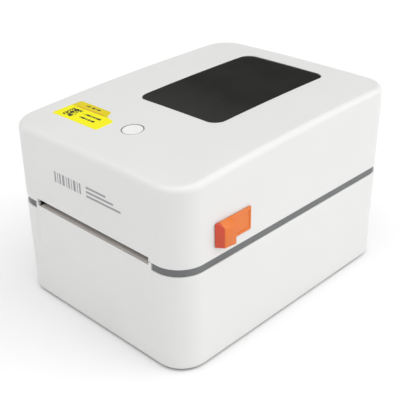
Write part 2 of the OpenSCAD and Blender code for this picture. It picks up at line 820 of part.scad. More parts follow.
// The rocker, resting tilted with its lower half out.
module power_rocker() {
    h = switch_h / 2 - 2.2 - 0.5;
    w = switch_w - 4.4 - 0.8;
    color([0.1, 0.1, 0.1]) translate([switch_x - w / 2, rocker_y, switch_z]) rotate([-rocker_tilt, 0, 0])
        along_x() linear_extrude(w) polygon([
            [-2.5, -3], [-1.5, -h + 0.9], [1.9, -h + 0.5], [1.2, 0],
            [1.9, h - 0.5], [-1.5, h - 0.9], [-2.5, 3]]);
    color([0.1, 0.1, 0.1]) along_x(switch_x - w / 2 - rocker_pin_l) translate([rocker_y, switch_z])
        cylinder(r = rocker_pin_r, h = w + 2 * rocker_pin_l);
}

/* ---- lid ---- */

window_y = half_d - window_back - window_d / 2;
button_y = -half_d + button_back;
ring_r = button_r + seat_gap + button_ring_w;
mark_w = 68;
mark_h = 8;
mark_z = lid_z + 24.9;
mark_t = 0.2;
mount_post_x = 50;
liner_depth = wall + 9;
liner_post_x = window_w / 2 + 20;
mount_post_y = head_y + 6;

// A plain label symbol: upright bars and ruled lines, no lettering.
module mark_shape() {
    bars = [[-34, 1.6], [-30.8, 0.8], [-28.6, 1.6], [-25.4, 2.4], [-21.2, 0.8], [-19, 1.6],
            [-15.8, 0.8], [-13.4, 2.4], [-9.4, 0.8], [-7.2, 1.6]];
    for (b = bars) translate([b[0], 0]) square([b[1], mark_h]);
    for (i = [0 : 2]) translate([0, i * 3.2]) square([34 - i * 7, 1.6]);
}

module front_mark() {
    color("gray") translate([0, -half_d + mark_t, mark_z]) rotate([90, 0, 0])
        linear_extrude(mark_t) mark_shape();
}

module lid_shell() {
    color("white") difference() {
        union() {
            difference() {
                lid_volume();
                lid_volume(wall);
                translate([0, window_y, lid_z]) linear_extrude(100)
                    rounded(window_w + 2 * window_gap, window_d + 2 * window_gap, window_r + window_gap);
            }
            intersection() {
                lid_volume(0.5);
                union() {
                    // moving knuckles of the hinge
                    both_sides() {
                        block([base_knuckle_x + base_knuckle_w + clear, hinge_y - knuckle_r, hinge_z],
                              [base_knuckle_x + base_knuckle_w + clear + lid_knuckle_w, inner_d + 1, hinge_z + 8]);
                        along_x(base_knuckle_x + base_knuckle_w + clear) translate([hinge_y, hinge_z])
                            cylinder(r = knuckle_r, h = lid_knuckle_w);
                    }
                    // rails and stops for the latch slides
                    both_sides() {
                        block([carriage_x0 + hook_t + clear, carriage_y0 - 12, latch_z0 - 1.2],
                              [inner_w + 1, carriage_y0 + carriage_l + 2, latch_z0 + 0.4]);
                        block([carriage_x0 + 1, carriage_y0 - 12, latch_z0 + latch_h - 0.8],
                              [inner_w + 1, carriage_y0 + carriage_l + 2, latch_z0 + latch_h + 0.8]);
                        block([carriage_x0, carriage_y0 - 14, latch_z0 - 1.2],
                              [inner_w + 1, carriage_y0 - 12, latch_z0 + latch_h + 0.8]);
                        block([carriage_x0, carriage_y0 + carriage_l + clear, latch_z0 - 1.2],
                              [inner_w + 1, carriage_y0 + carriage_l + clear + 1.6, latch_z0 + latch_h + 0.8]);
                    }
                    // posts for the print head's mount and the button's board
                    for (sx = [-1, 1]) {
                        translate([sx * mount_post_x, mount_post_y, mount_z + mount_t])
                            cylinder(r = 4, h = 60);
                        translate([sx * 10, button_y + 6, top_at(button_y) - 11]) cylinder(r = 2.5, h = 20);
                        for (y = [button_y + 22, half_d - 17])
                            translate([sx * liner_post_x, y, top_at(y) - liner_depth])
                                cylinder(r = 3, h = 20);
                    }
                }
            }
        }
        // label slot
        block([-slot_w / 2, -half_d - cut, lid_z - cut], [slot_w / 2, -inner_d + cut, lid_z + slot_lift]);
        // button hole
        translate([0, button_y, lid_z]) cylinder(r = ring_r, h = 100);
        // latch stems
        both_sides()
            block([inner_w - cut, stem_y0 - latch_travel - 0.5, latch_z0 + (latch_h - stem_h) / 2 - 0.4],
                  [half_w + cut, stem_y0 + stem_l + 0.5, latch_z0 + (latch_h + stem_h) / 2 + 0.4]);
        // notches round the fixed knuckles
        both_sides() block([base_knuckle_x - clear, hinge_y - 8, lid_z - cut],
                           [base_knuckle_x + base_knuckle_w + clear, half_d + cut,
                            hinge_z + knuckle_r + clear]);
        both_sides() along_x(base_knuckle_x + base_knuckle_w) translate([hinge_y, hinge_z])
            cylinder(r = pin_r + run, h = lid_knuckle_w + 2 * clear + 0.5);
        // screw holes
        for (sx = [-1, 1]) translate([sx * mount_post_x, mount_post_y, mount_z])
            cylinder(r = screw_r, h = 12);
        translate([0, -half_d + mark_t, mark_z]) rotate([90, 0, 0])
            linear_extrude(mark_t + cut) mark_shape();
    }
}

module lid_window() {
    color([0.08, 0.08, 0.08]) {
        intersection() {
            top_skin(window_sink, window_sink + window_t + wall);
            translate([0, window_y, lid_z]) linear_extrude(100) rounded(window_w, window_d, window_r);
        }
        intersection() {
            top_skin(wall + 0.15, wall + window_t);
            translate([0, window_y, lid_z]) linear_extrude(100)
                rounded(window_w + 2 * window_ledge, window_d + 2 * window_ledge, window_r + window_ledge);
        }
    }
}

// Inner cover of the lid, a sheet with an opening under the window.
module lid_liner() {
    color("dimgray") difference() {
        intersection() {
            top_skin(liner_depth, liner_depth + 1.5);
            block([-half_w + 10, button_y + 14, lid_z], [half_w - 10, half_d - 12, 200]);
        }
        translate([0, window_y, lid_z]) linear_extrude(100) rounded(window_w - 6, window_d - 6, window_r);
    }
}

// Outline of the sticker on the lid's top, front left, from the case's left and front sides.
module sticker_outline() {
    translate([-half_w, -half_d]) polygon([[17, 27.4], [18.4, 53.4], [53.4, 52.6], [56.3, 45.6],
                                           [66.8, 42.8], [67, 27]]);
}

module setup_sticker() {
    color("gold") intersection() {
        difference() {
            translate([0, 0, 0.2]) under_top();
            scale([1.01, 1, 1]) under_top();
        }
        translate([0, 0, lid_z]) linear_extrude(100) sticker_outline();
    }
}

module button_ring() {
    top = top_at(button_y);
    color("silver") difference() {
        intersection() {
            translate([0, button_y, top - 5]) cylinder(r = ring_r, h = 8);
            under_top();
        }
        translate([0, button_y, top - 6]) cylinder(r = button_r + seat_gap, h = 10);
    }
}

module feed_button() {
    top = top_at(button_y);
    color("white") translate([0, button_y, 0]) {
        intersection() {
            translate([0, 0, top - 4]) cylinder(r = button_r, h = 8);
            translate([0, -button_y, 0]) under_top();
        }
        translate([0, 0, top - 8]) cylinder(r = 2.5, h = 4.5);
    }
}

module button_board() {
    top = top_at(button_y) - 11;
    color("seagreen") block([-15, button_y - 8, top - 1.6], [15, button_y + 12, top]);
    color("black") {
        block([-3, button_y - 3, top], [3, button_y + 3, top + 1.4]);
        translate([0, button_y, top + 1.4]) cylinder(r = 1.6, h = 0.6);
    }
}

// The right-hand latch: an outer plate with a finger grip, a stem through the wall, a carriage and a hook.
module latch() {
    x0 = half_w + clear;
    color("orangered") {
        block([x0, latch_y0, latch_z0], [x0 + latch_t, latch_y0 + latch_l, latch_z0 + latch_h]);
        // finger grip, its top sloped
        intersection() {
            translate([0, 0, latch_z0]) linear_extrude(latch_h) polygon([
                [x0, latch_y0], [half_w + grip_out - 1.3, latch_y0 + 3.5], [half_w + grip_out, latch_y0 + 13],
                [x0 + latch_t, latch_y0 + 14.5], [x0, latch_y0 + 14.5]]);
            translate([0, latch_y0 + 15, latch_z0]) rotate([90, 0, 0]) linear_extrude(16) polygon([
                [x0 - cut, 0], [half_w + grip_out + cut, 0], [half_w + grip_out + cut, latch_h - grip_slope],
                [x0 + latch_t, latch_h], [x0 - cut, latch_h]]);
        }
        block([inner_w - 1, stem_y0, latch_z0 + (latch_h - stem_h) / 2],
              [x0, stem_y0 + stem_l, latch_z0 + (latch_h + stem_h) / 2]);
        block([carriage_x0, carriage_y0, latch_z0 + 0.7],
              [inner_w - clear, carriage_y0 + carriage_l, latch_z0 + latch_h - 1.1]);
        block([carriage_x0, hook_y0, toe_z], [carriage_x0 + hook_t, hook_y0 + hook_l, latch_z0 + 2]);
        block([carriage_x0, hook_y0 + hook_l - 1, toe_z],
              [carriage_x0 + hook_t, hook_y0 + hook_l + toe_l, toe_z + 2.7]);
    }
}

module latch_right() { latch(); }
module latch_left() { mirror([1, 0, 0]) latch(); }

module latch_spring() {
    color("silver") translate([carriage_x0 + 2.6, carriage_y0 - 0.1, latch_z0 + latch_h / 2])
        rotate([90, 0, 0])
        coil(1.9, 0.3, 11.8, 7);
}

module latch_spring_right() { latch_spring(); }
module latch_spring_left() { mirror([1, 0, 0]) latch_spring(); }

/* ---- print head ---- */

module head_mount() {
    color("gray") difference() {
        union() {
            block([-cheek_x - 2, head_y - 9, mount_z], [cheek_x + 2, pivot_y + 5, mount_z + mount_t]);
            both_sides() block([cheek_x, pivot_y - 5, pivot_z - 4.5], [cheek_x + 2, pivot_y + 5, mount_z]);
        }
        both_sides() along_x(cheek_x - cut) translate([pivot_y, pivot_z])
            cylinder(r = pivot_r, h = 2 + 2 * cut);
        for (sx = [-1, 1]) translate([sx * mount_post_x, mount_post_y, mount_z - cut])
            cylinder(r = screw_r + 0.2, h = mount_t + 2 * cut);
    }
}

module head_pivot() {
    color("silver") along_x(-cheek_x - 2.5) translate([pivot_y, pivot_z])
        cylinder(r = pivot_r, h = 2 * cheek_x + 5);
}

module head_bracket() {
    low = head_z + 1;
    color("silver") along_x(-media_w / 2) linear_extrude(media_w) difference() {
        polygon([[head_y - 7, low], [head_y + 10, low],
                 [pivot_y + 3.5, pivot_z - 3], [pivot_y + 3.5, pivot_z + 3.5],
                 [pivot_y - 3.5, pivot_z + 3.5], [head_y + 6, low + 5.5], [head_y - 7, low + 5.5]]);
        translate([pivot_y, pivot_z]) circle(pivot_r + run);
    }
}

module head_strip() {
    color("ivory") along_x(-media_w / 2 + 1) linear_extrude(media_w - 2)
        translate([head_y - 6, head_z]) square([14, 1]);
}

module head_springs() {
    low = head_z + 6.5;
    color("silver") for (sx = [-1, 1]) translate([sx * 30, head_y - 1, low])
        coil(3, 0.4, mount_z - low, 6);
}

module lid_screws() {
    color("silver") for (sx = [-1, 1]) translate([sx * mount_post_x, mount_post_y, 0]) {
        translate([0, 0, mount_z - 1.2]) cylinder(r = screw_head_r, h = 1.2);
        translate([0, 0, mount_z - 0.2]) cylinder(r = screw_r, h = 9);
    }
}

base_housing();
front_panel();
front_ears();
bottom_cover();
rubber_feet();
case_screws();
chassis();
hinge_pins();
tear_bar();
catch_leaves();
paper_guide();
label_sensor();
platen_roller();
platen_shaft();
platen_gear();
platen_bushings();
gear_plate();
idler_stud();
idler_gear();
stepper_motor();
motor_shaft();
motor_pinion();
guide_left();
guide_right();
guide_hub_left();
guide_hub_right();
guide_pinion();
guide_rail_cover();
main_board();
data_socket();
power_jack();
switch_frame();
power_rocker();
lid_shell();
lid_window();
lid_liner();
front_mark();
setup_sticker();
feed_button();
button_ring();
button_board();
latch_left();
latch_right();
latch_spring_left();
latch_spring_right();
head_mount();
head_pivot();
head_bracket();
head_strip();
head_springs();
lid_screws();
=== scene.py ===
"""A desktop thermal label printer: the surfaces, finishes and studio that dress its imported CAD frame."""

import logging
import math
from dataclasses import dataclass, field
from enum import Enum

import bmesh
import bpy
import numpy as np
from mathutils import Matrix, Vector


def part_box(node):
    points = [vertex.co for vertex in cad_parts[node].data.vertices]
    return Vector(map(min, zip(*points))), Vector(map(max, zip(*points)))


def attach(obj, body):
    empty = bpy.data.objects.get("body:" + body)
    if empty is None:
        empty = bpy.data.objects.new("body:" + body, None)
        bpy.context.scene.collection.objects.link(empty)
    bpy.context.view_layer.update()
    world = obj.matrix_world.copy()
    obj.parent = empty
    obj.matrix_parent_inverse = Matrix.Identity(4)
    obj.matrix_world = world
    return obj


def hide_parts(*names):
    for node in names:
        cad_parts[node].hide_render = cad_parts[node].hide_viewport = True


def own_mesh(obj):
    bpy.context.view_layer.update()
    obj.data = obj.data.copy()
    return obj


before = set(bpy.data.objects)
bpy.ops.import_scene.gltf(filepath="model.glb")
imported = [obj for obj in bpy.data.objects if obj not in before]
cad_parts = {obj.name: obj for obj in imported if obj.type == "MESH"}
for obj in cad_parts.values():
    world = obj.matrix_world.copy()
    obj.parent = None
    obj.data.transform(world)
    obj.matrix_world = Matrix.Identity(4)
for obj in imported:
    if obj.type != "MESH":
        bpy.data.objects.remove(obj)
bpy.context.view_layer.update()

MM = 0.001
LOG = logging.getLogger("label_printer")
Tree, Socket = bpy.types.NodeTree, bpy.types.NodeSocket


# ---------------------------------------------------------------- finishes


def linear(hex_colour: str) -> tuple[float, float, float, float]:
    """Turns an sRGB hex colour into linear RGBA.

    Args:
        hex_colour: six hex digits.

    Returns:
        Linear red, green, blue and an alpha of 1.
    """
    srgb = np.array([int(hex_colour[i:i + 2], 16) for i in (0, 2, 4)]) / 255
    rgb = np.where(srgb <= 0.04045, srgb / 12.92, ((srgb + 0.055) / 1.055) ** 2.4)
    return (*map(float, rgb), 1.0)


def add_node(tree: Tree, kind: str, settings: dict | None = None,
             links: dict | None = None) -> bpy.types.Node:
    """Adds one node to a tree.

    Args:
        tree: the node tree.
        kind: the node's type, without its ShaderNode prefix.
        settings: values for the node's properties or its input sockets, by name or number.
        links: output sockets to join to its inputs, by the input's name or number.

    Returns:
        The new node.
    """
    node = tree.nodes.new("ShaderNode" + kind)
    for key, value in (settings or {}).items():
        if isinstance(key, str) and hasattr(node, key):
            setattr(node, key, value)
        else:
            node.inputs[key].default_value = value
    for key, output in (links or {}).items():
        tree.links.new(output, node.inputs[key])
    return node


def ramp(tree: Tree, value: Socket, low: float, high: float, to_low: float, to_high: float) -> Socket:
    """Maps a value's range onto another, clamped.

    Args:
        tree: the node tree.
        value: the socket to map.
        low: start of its range.
        high: end of its range.
        to_low: what the start becomes.
        to_high: what the end becomes.

    Returns:
        The mapped value's socket.
    """
    settings = {"From Min": low, "From Max": high, "To Min": to_low, "To Max": to_high}
    return add_node(tree, "MapRange", settings, {"Value": value}).outputs["Result"]


def blend_colour(tree: Tree, share: Socket, first: tuple | Socket, second: tuple | Socket) -> Socket:
    """Mixes two colours, or a colour and a socket, by a socket's share.

    Args:
        tree: the node tree.
        share: the socket of the second colour's share.
        first: linear RGBA, or a socket.
        second: linear RGBA, or a socket.

    Returns:
        The mixed colour's socket.
    """
    mix = add_node(tree, "Mix", {"data_type": "RGBA"}, {"Factor": share})
    for socket, colour in ((mix.inputs[6], first), (mix.inputs[7], second)):
        if isinstance(colour, Socket):
            tree.links.new(colour, socket)
        else:
            socket.default_value = colour
    return mix.outputs[2]


@dataclass(frozen=True)
class Finish:
    """A finish: its name, what colour it is and how it varies, and how it takes the light.

    The colour drifts softly over `drift_mm` between `colour` and `shade`. The surface has a fine
    grain of `grain_mm` that stands `relief_mm` high, and its gloss wanders a little. `painted_light_ramp`
    names two distances along Y in millimetres and the colour that the finish turns to from the first to the
    second: painted light or shade laid into the colour.
    Real mould grain, draw lines and grinding rings are finer than this: they are drawn as coarse as they
    need to be to show.
    """

    name: str
    colour: str
    shade: str
    roughness: float = 0.4
    roughness_swing: float = 0.06
    metallic: float = 0.0
    ior: float = 1.5
    grain_mm: float = 0.5
    relief_mm: float = 0.01
    drift_mm: float = 30.0
    coat: float = 0.0
    coat_roughness: float = 0.1
    specular: float = 0.5
    subsurface: float = 0.0
    stretch: tuple[float, float, float] = (1.0, 1.0, 1.0)
    # painted light or shade: a colour ramp along Y
    painted_light_ramp: tuple[float, float, str] | None = None

    def build(self) -> bpy.types.Material:
        """Makes the Blender material.

        Returns:
            The material.
        """
        material = bpy.data.materials.new(self.name)
        material.use_nodes = True
        tree = material.node_tree
        tree.nodes.clear()
        place = add_node(tree, "TexCoord").outputs["Object"]
        settings = {
            "Metallic": self.metallic, "IOR": self.ior, "Coat Weight": self.coat,
            "Coat Roughness": self.coat_roughness, "Specular IOR Level": self.specular,
        }
        shader = add_node(tree, "BsdfPrincipled", settings)
        if self.subsurface:
            shader.inputs["Subsurface Weight"].default_value = self.subsurface
            shader.inputs["Subsurface Radius"].default_value = (0.002, 0.002, 0.002)
        tree.links.new(self.paint(tree, place), shader.inputs["Base Color"])
        tree.links.new(self.gloss(tree, place), shader.inputs["Roughness"])
        tree.links.new(self.relief(tree, place), shader.inputs["Normal"])
        add_node(tree, "OutputMaterial", None, {"Surface": shader.outputs["BSDF"]})
        return material

    def noise(self, tree: Tree, place: Socket, size_mm: float, detail: float = 2.0,
              stretched: bool = False) -> Socket:
        """Noise whose features measure size_mm.

        Args:
            tree: the node tree.
            place: the socket of the place on the piece.
            size_mm: size of a feature.
            detail: how many finer layers it has.
            stretched: the noise is drawn out by the finish's stretch.

        Returns:
            The noise's socket.
        """
        if stretched:
            place = add_node(tree, "Mapping", {"Scale": self.stretch}, {"Vector": place}).outputs[0]
        settings = {"Scale": 1 / (size_mm * MM), "Detail": detail, "Roughness": 0.55}
        return add_node(tree, "TexNoise", settings, {"Vector": place}).outputs["Fac"]

    def paint(self, tree: Tree, place: Socket) -> Socket:
        """The base colour's socket: a soft drift between the two colours.

        Args:
            tree: the node tree.
            place: the socket of the place on the piece.

        Returns:
            The colour's socket.
        """
        drift = ramp(tree, self.noise(tree, place, self.drift_mm), 0.35, 0.65, 0, 1)
        colour = blend_colour(tree, drift, linear(self.colour), linear(self.shade))
        if self.painted_light_ramp is None:
            return colour
        # painted light or shade: the colour ramps along Y to a lighter or darker one
        start, end, far = self.painted_light_ramp
        along = add_node(tree, "SeparateXYZ", None, {0: place}).outputs[1]
        low, high = sorted((start, end))
        part = ramp(tree, along, low * MM, high * MM, float(start > end), float(end > start))
        return blend_colour(tree, part, colour, linear(far))

    def gloss(self, tree: Tree, place: Socket) -> Socket:
        """The roughness socket: a little smoother and rougher over a few millimetres.

        Args:
            tree: the node tree.
            place: the socket of the place on the piece.

        Returns:
            The roughness's socket.
        """
        wander = self.noise(tree, place, self.drift_mm / 4, 3.0)
        swing = self.roughness_swing
        return ramp(tree, wander, 0.3, 0.7, self.roughness - swing, self.roughness + swing)

    def relief(self, tree: Tree, place: Socket) -> Socket:
        """The normal's socket: the grain as a bump.

        Args:
            tree: the node tree.
            place: the socket of the place on the piece.

        Returns:
            The normal's socket.
        """
        grain = self.noise(tree, place, self.grain_mm, 3.0, stretched=True)
        settings = {"Strength": 0.6, "Distance": self.relief_mm * MM}
        return add_node(tree, "Bump", settings, {"Height": grain}).outputs["Normal"]


@dataclass(frozen=True)
class BoardFinish(Finish):
    """Solder mask over copper tracks: straight tracks show as lighter lines under the green."""

    track_mm: float = 2.4
    track_colour: str = "2E8A55"

    def paint(self, tree: Tree, place: Socket) -> Socket:
        """The mask's green, lighter over a weave of tracks.

        Args:
            tree: the node tree.
            place: the socket of the place on the piece.

        Returns:
            The colour's socket.
        """
        base = super().paint(tree, place)
        settings = {"Scale": 1 / (self.track_mm * MM), "feature": "DISTANCE_TO_EDGE"}
        tracks = add_node(tree, "TexVoronoi", settings, {"Vector": place}).outputs["Distance"]
        share = ramp(tree, tracks, 0.03, 0.06, 1, 0)
        return blend_colour(tree, share, base, linear(self.track_colour))


@dataclass(frozen=True)
class StickerFinish(Finish):
    """Coated paper with generic printing, laid out in millimetres on the sticker's own UV map.

    A square of random blocks stands at the left, two dashed lines to its right, and a warm strip along the
    top. Each box is (left, bottom, width, height).
    """

    ink: str = "33342A"
    strip: str = "DECB20"
    rule: str = "C9702A"
    cell_mm: float = 0.9
    strip_low: float = 17.6
    blocks: tuple[float, float, float, float] = (7.2, 3.6, 10.8, 11.7)
    rows: tuple[tuple[float, float, float, float], ...] = ((21.5, 11.3, 18.6, 1.9), (22.9, 6.4, 16.2, 1.9))
    heading: tuple[float, float, float, float] = (12.5, 21.6, 15.0, 1.8)
    underline: tuple[float, float, float, float] = (7.0, 17.9, 30.0, 0.7)

    def combine(self, tree: Tree, operation: str, first: Socket, second: Socket | float) -> Socket:
        """A Math node of two sockets, or of a socket and a number.

        Args:
            tree: the node tree.
            operation: the Math node's operation.
            first: a socket.
            second: a socket or a number.

        Returns:
            The result's socket.
        """
        links = {0: first} if isinstance(second, float) else {0: first, 1: second}
        settings = {"operation": operation, **({1: second} if isinstance(second, float) else {})}
        return add_node(tree, "Math", settings, links).outputs[0]

    def inside(self, tree: Tree, x: Socket, y: Socket, box: tuple[float, float, float, float]) -> Socket:
        """1 where the point lies in a box of (left, bottom, width, height), else 0.

        Args:
            tree: the node tree.
            x: the socket of the distance from the sheet's left edge.
            y: the socket of the distance from its lower edge.
            box: the box, in millimetres.

        Returns:
            The socket of 1 or 0.
        """
        left, low, width, height = box
        parts = []
        for value, centre, half in ((x, left + width / 2, width / 2), (y, low + height / 2, height / 2)):
            settings = {"operation": "COMPARE", 1: centre, 2: half}
            parts.append(add_node(tree, "Math", settings, {0: value}).outputs[0])
        return self.combine(tree, "MULTIPLY", *parts)

    def cells(self, tree: Tree, sheet: Socket, size: tuple[float, float, float], share: float) -> Socket:
        """1 in a random share of the cells of a grid, else 0.

        Args:
            tree: the node tree.
            sheet: the socket of the place on the sheet.
            size: width, height and depth of a cell.
            share: share of the cells that are 1.

        Returns:
            The socket of 1 or 0.
        """
        snapped = add_node(tree, "VectorMath", {"operation": "SNAP", 1: size}, {0: sheet}).outputs[0]
        noise = add_node(tree, "TexWhiteNoise", {"noise_dimensions": "2D"}, {"Vector": snapped})
        return self.combine(tree, "GREATER_THAN", noise.outputs["Value"], 1 - share)

    def paint(self, tree: Tree, place: Socket) -> Socket:
        """The paper's yellow, with a warmer strip along the top and the printed blocks and dashes over it.

        Args:
            tree: the node tree.
            place: the socket of the place on the piece.

        Returns:
            The colour's socket.
        """
        sheet = add_node(tree, "UVMap", {"uv_map": "Sheet"}).outputs["UV"]
        split = add_node(tree, "SeparateXYZ", None, {0: sheet})
        x, y = split.outputs[0], split.outputs[1]
        top = self.combine(tree, "GREATER_THAN", y, self.strip_low)
        colour = blend_colour(tree, top, super().paint(tree, place), linear(self.strip))
        rule = self.inside(tree, x, y, self.underline)
        colour = blend_colour(tree, rule, colour, linear(self.rule))
        dashes = self.cells(tree, sheet, (0.75, 40.0, 1.0), 0.68)
        ink = self.combine(tree, "MULTIPLY", self.inside(tree, x, y, self.blocks),
                           self.cells(tree, sheet, (self.cell_mm, self.cell_mm, 1.0), 0.64))
        for box in (*self.rows, self.heading):
            row = self.combine(tree, "MULTIPLY", self.inside(tree, x, y, box), dashes)
            ink = self.combine(tree, "MAXIMUM", ink, row)
        return blend_colour(tree, ink, colour, linear(self.ink))


class Coat(Enum):
    """The finishes of the printer."""

    # ABS, injection moulded in a spark-eroded mould: soft sheen, very fine even grain
    WHITE_ABS = Finish("White_ABS_moulded", "DFDFDE", "DDDDDC", 0.4, 0.02, grain_mm=0.45, relief_mm=0.006,
                       drift_mm=60.0)
    # the button's ABS: from a polished mould, so a little whiter and glossier than the case
    CAP_ABS = Finish("White_ABS_polished", "EDEDEC", "EBEBEA", 0.3, 0.02, grain_mm=0.8, relief_mm=0.003,
                     drift_mm=60.0)
    # ABS with a coarser mould texture: dull, slightly sparkling grey
    GREY_ABS = Finish("Grey_ABS_textured", "6B6D6E", "646667", 0.5, 0.06, grain_mm=0.5, relief_mm=0.015)
    # glass-filled ABS: dull dark grey with a faint mottle
    DARK_ABS = Finish("Dark_ABS_textured", "2C2D2F", "252628", 0.5, 0.08, grain_mm=0.5, relief_mm=0.02)
    # cast acrylic tinted nearly black and polished: glassy, a few faint ripples; its colour is painted
    # lighter towards the front as a painted reflection
    SMOKED_ACRYLIC = Finish("Smoked_acrylic_polished", "252624", "2A2B29", 0.09, 0.03, ior=1.49,
                            grain_mm=18.0, relief_mm=0.02, specular=0.12, painted_light_ramp=(20.0, -45.0, "383837"))
    # orange ABS, moulded with a satin face; the latch's front face is painted darker and redder, as painted
    # shade
    ORANGE_ABS = Finish("Orange_ABS_satin", "E07422", "DA6E1E", 0.36, 0.05, grain_mm=0.6, relief_mm=0.01,
                        painted_light_ramp=(-78.9, -79.8, "CC4222"))
    # nitrile rubber, ground true: matt black with very fine rings of grinding
    GROUND_RUBBER = Finish("Nitrile_rubber_ground", "1B1B1C", "222223", 0.72, 0.06, grain_mm=0.4,
                           relief_mm=0.02, stretch=(4.0, 1.0, 1.0), specular=0.35)
    # moulded rubber feet: dull, a little dusty
    FOOT_RUBBER = Finish("Rubber_moulded", "191919", "242424", 0.8, 0.05, grain_mm=0.7, relief_mm=0.03)
    # drawn steel rod and strip: long fine draw lines
    DRAWN_STEEL = Finish("Steel_drawn", "B9BBBE", "A9ABAE", 0.3, 0.07, metallic=1.0, grain_mm=0.3,
                         relief_mm=0.004, stretch=(0.08, 1.0, 1.0))
    # zinc-plated screws: bright with a faint blue cast
    ZINC = Finish("Steel_zinc_plated", "C3C7CC", "B2B6BB", 0.28, 0.08, metallic=1.0, grain_mm=0.3,
                  relief_mm=0.004)
    # natural nylon gears: waxy, slightly translucent
    NYLON = Finish("Nylon_moulded", "E9E4D2", "E2DCC8", 0.42, 0.05, grain_mm=0.8, relief_mm=0.006,
                   subsurface=0.15)
    # turned brass
    BRASS = Finish("Brass_turned", "C9A45C", "BD9750", 0.26, 0.06, metallic=1.0, grain_mm=0.25,
                   relief_mm=0.004)
    # solder mask on glass epoxy
    BOARD = BoardFinish("Glass_epoxy_solder_mask", "14643A", "115833", 0.3, 0.05, grain_mm=0.6,
                        relief_mm=0.01)
    # extruded aluminium, long die lines
    ALUMINIUM = Finish("Aluminium_extruded", "C7C9CC", "B9BBBE", 0.36, 0.07, metallic=1.0, grain_mm=0.35,
                       relief_mm=0.006, stretch=(0.06, 1.0, 1.0))
    # glazed alumina strip of the print head
    CERAMIC = Finish("Alumina_glazed", "EDE9DE", "E6E1D4", 0.12, 0.03, ior=1.6, grain_mm=3.0, relief_mm=0.003,
                     coat=0.5)
    # coated paper: bright yellow, smooth with a faint fibre
    YELLOW_PAPER = StickerFinish("Paper_coated_yellow", "F4EE16", "F0E914", 0.4, 0.05, grain_mm=0.8,
                                 relief_mm=0.006)
    # screen-printed grey ink
    GREY_INK = Finish("Ink_screen_printed", "9B9C9E", "949597", 0.45, 0.05, grain_mm=0.3, relief_mm=0.006)
    # grey ring round the button
    RING = Finish("Polycarbonate_grey", "929495", "8C8E8F", 0.3, 0.04, grain_mm=0.5, relief_mm=0.004)
    # stainless tear bar, satin blasted; its colour is painted near white with no metallic share, as painted
    # light that brightens it in the shaded slot
    TEAR_STEEL = Finish("Steel_blasted_painted_light", "F0E8E2", "E8E0DA", 0.6, 0.05, metallic=0.0, grain_mm=0.3,
                        relief_mm=0.006, stretch=(0.05, 1.0, 1.0))
    # tinned steel of the sockets
    TINPLATE = Finish("Steel_tinned", "BFC1C2", "B0B2B4", 0.32, 0.08, metallic=1.0, grain_mm=0.6,
                      relief_mm=0.005)


class Paints:
    """Builds each finish once and hands it out."""

    def __init__(self) -> None:
        """Starts with nothing built."""
        self.built: dict[Coat, bpy.types.Material] = {}

    def get(self, coat: Coat) -> bpy.types.Material:
        """The material of a finish, built at its first use.

        Args:
            coat: the finish.

        Returns:
            Its material.
        """
        if coat not in self.built:
            self.built[coat] = coat.value.build()
        return self.built[coat]


PAINTS = Paints()

# ---------------------------------------------------------------- surfaces


def grid_faces(rows: int, columns: int, wrap_rows: bool = False) -> np.ndarray:
    """Quads between rows of points, each row a closed ring.

    Args:
        rows: number of rows.
        columns: points in each row.
        wrap_rows: the last row joins the first.

    Returns:
        An array of four point numbers for each quad.
    """
    row, column = np.meshgrid(np.arange(rows if wrap_rows else rows - 1), np.arange(columns), indexing="ij")
    next_row, next_column = (row + 1) % rows, (column + 1) % columns
    corners = [row * columns + column, row * columns + next_column,
               next_row * columns + next_column, next_row * columns + column]
    return np.stack(corners, -1).reshape(-1, 4)


def signed_volume(points: np.ndarray, quads: np.ndarray) -> float:
    """Volume that the quads enclose, negative where they face inwards.

    Args:
        points: one row of x, y, z each.
        quads: four point numbers each.

    Returns:
        A sixth of the sum of a . (b x c) and a . (c x d) over the quads a, b, c, d.
    """
    a, b, c, d = (points[quads[:, k]] for k in range(4))
    halves = np.einsum("ij,ij->i", a, np.cross(b, c)) + np.einsum("ij,ij->i", a, np.cross(c, d))
    return float(halves.sum() / 6)


def make_object(name: str, points: np.ndarray, faces: list, smooth_deg: float = 32.0) -> bpy.types.Object:
    """Makes a mesh object from points in millimetres.

    Args:
        name: the piece's name.
        points: one row of x, y, z for each point.
        faces: lists of point numbers.
        smooth_deg: edges sharper than this stay sharp.

    Returns:
        The object, linked to the scene.
    """
    mesh = bpy.data.meshes.new(name)
    mesh.from_pydata((points * MM).tolist(), [], faces)
    mesh.validate()
    return adopt(name, mesh, smooth_deg)


def adopt(name: str, mesh: bpy.types.Mesh, smooth_deg: float = 32.0) -> bpy.types.Object:
    """Shades a mesh smooth up to an angle, and puts it in the scene as an object.

    Args:
        name: the object's name.
        mesh: its mesh.
        smooth_deg: edges sharper than this stay sharp.

    Returns:
        The object.
    """
    mesh.shade_smooth()
    mesh.set_sharp_from_angle(angle=math.radians(smooth_deg))
    obj = bpy.data.objects.new(name, mesh)
    bpy.context.scene.collection.objects.link(obj)
    return obj


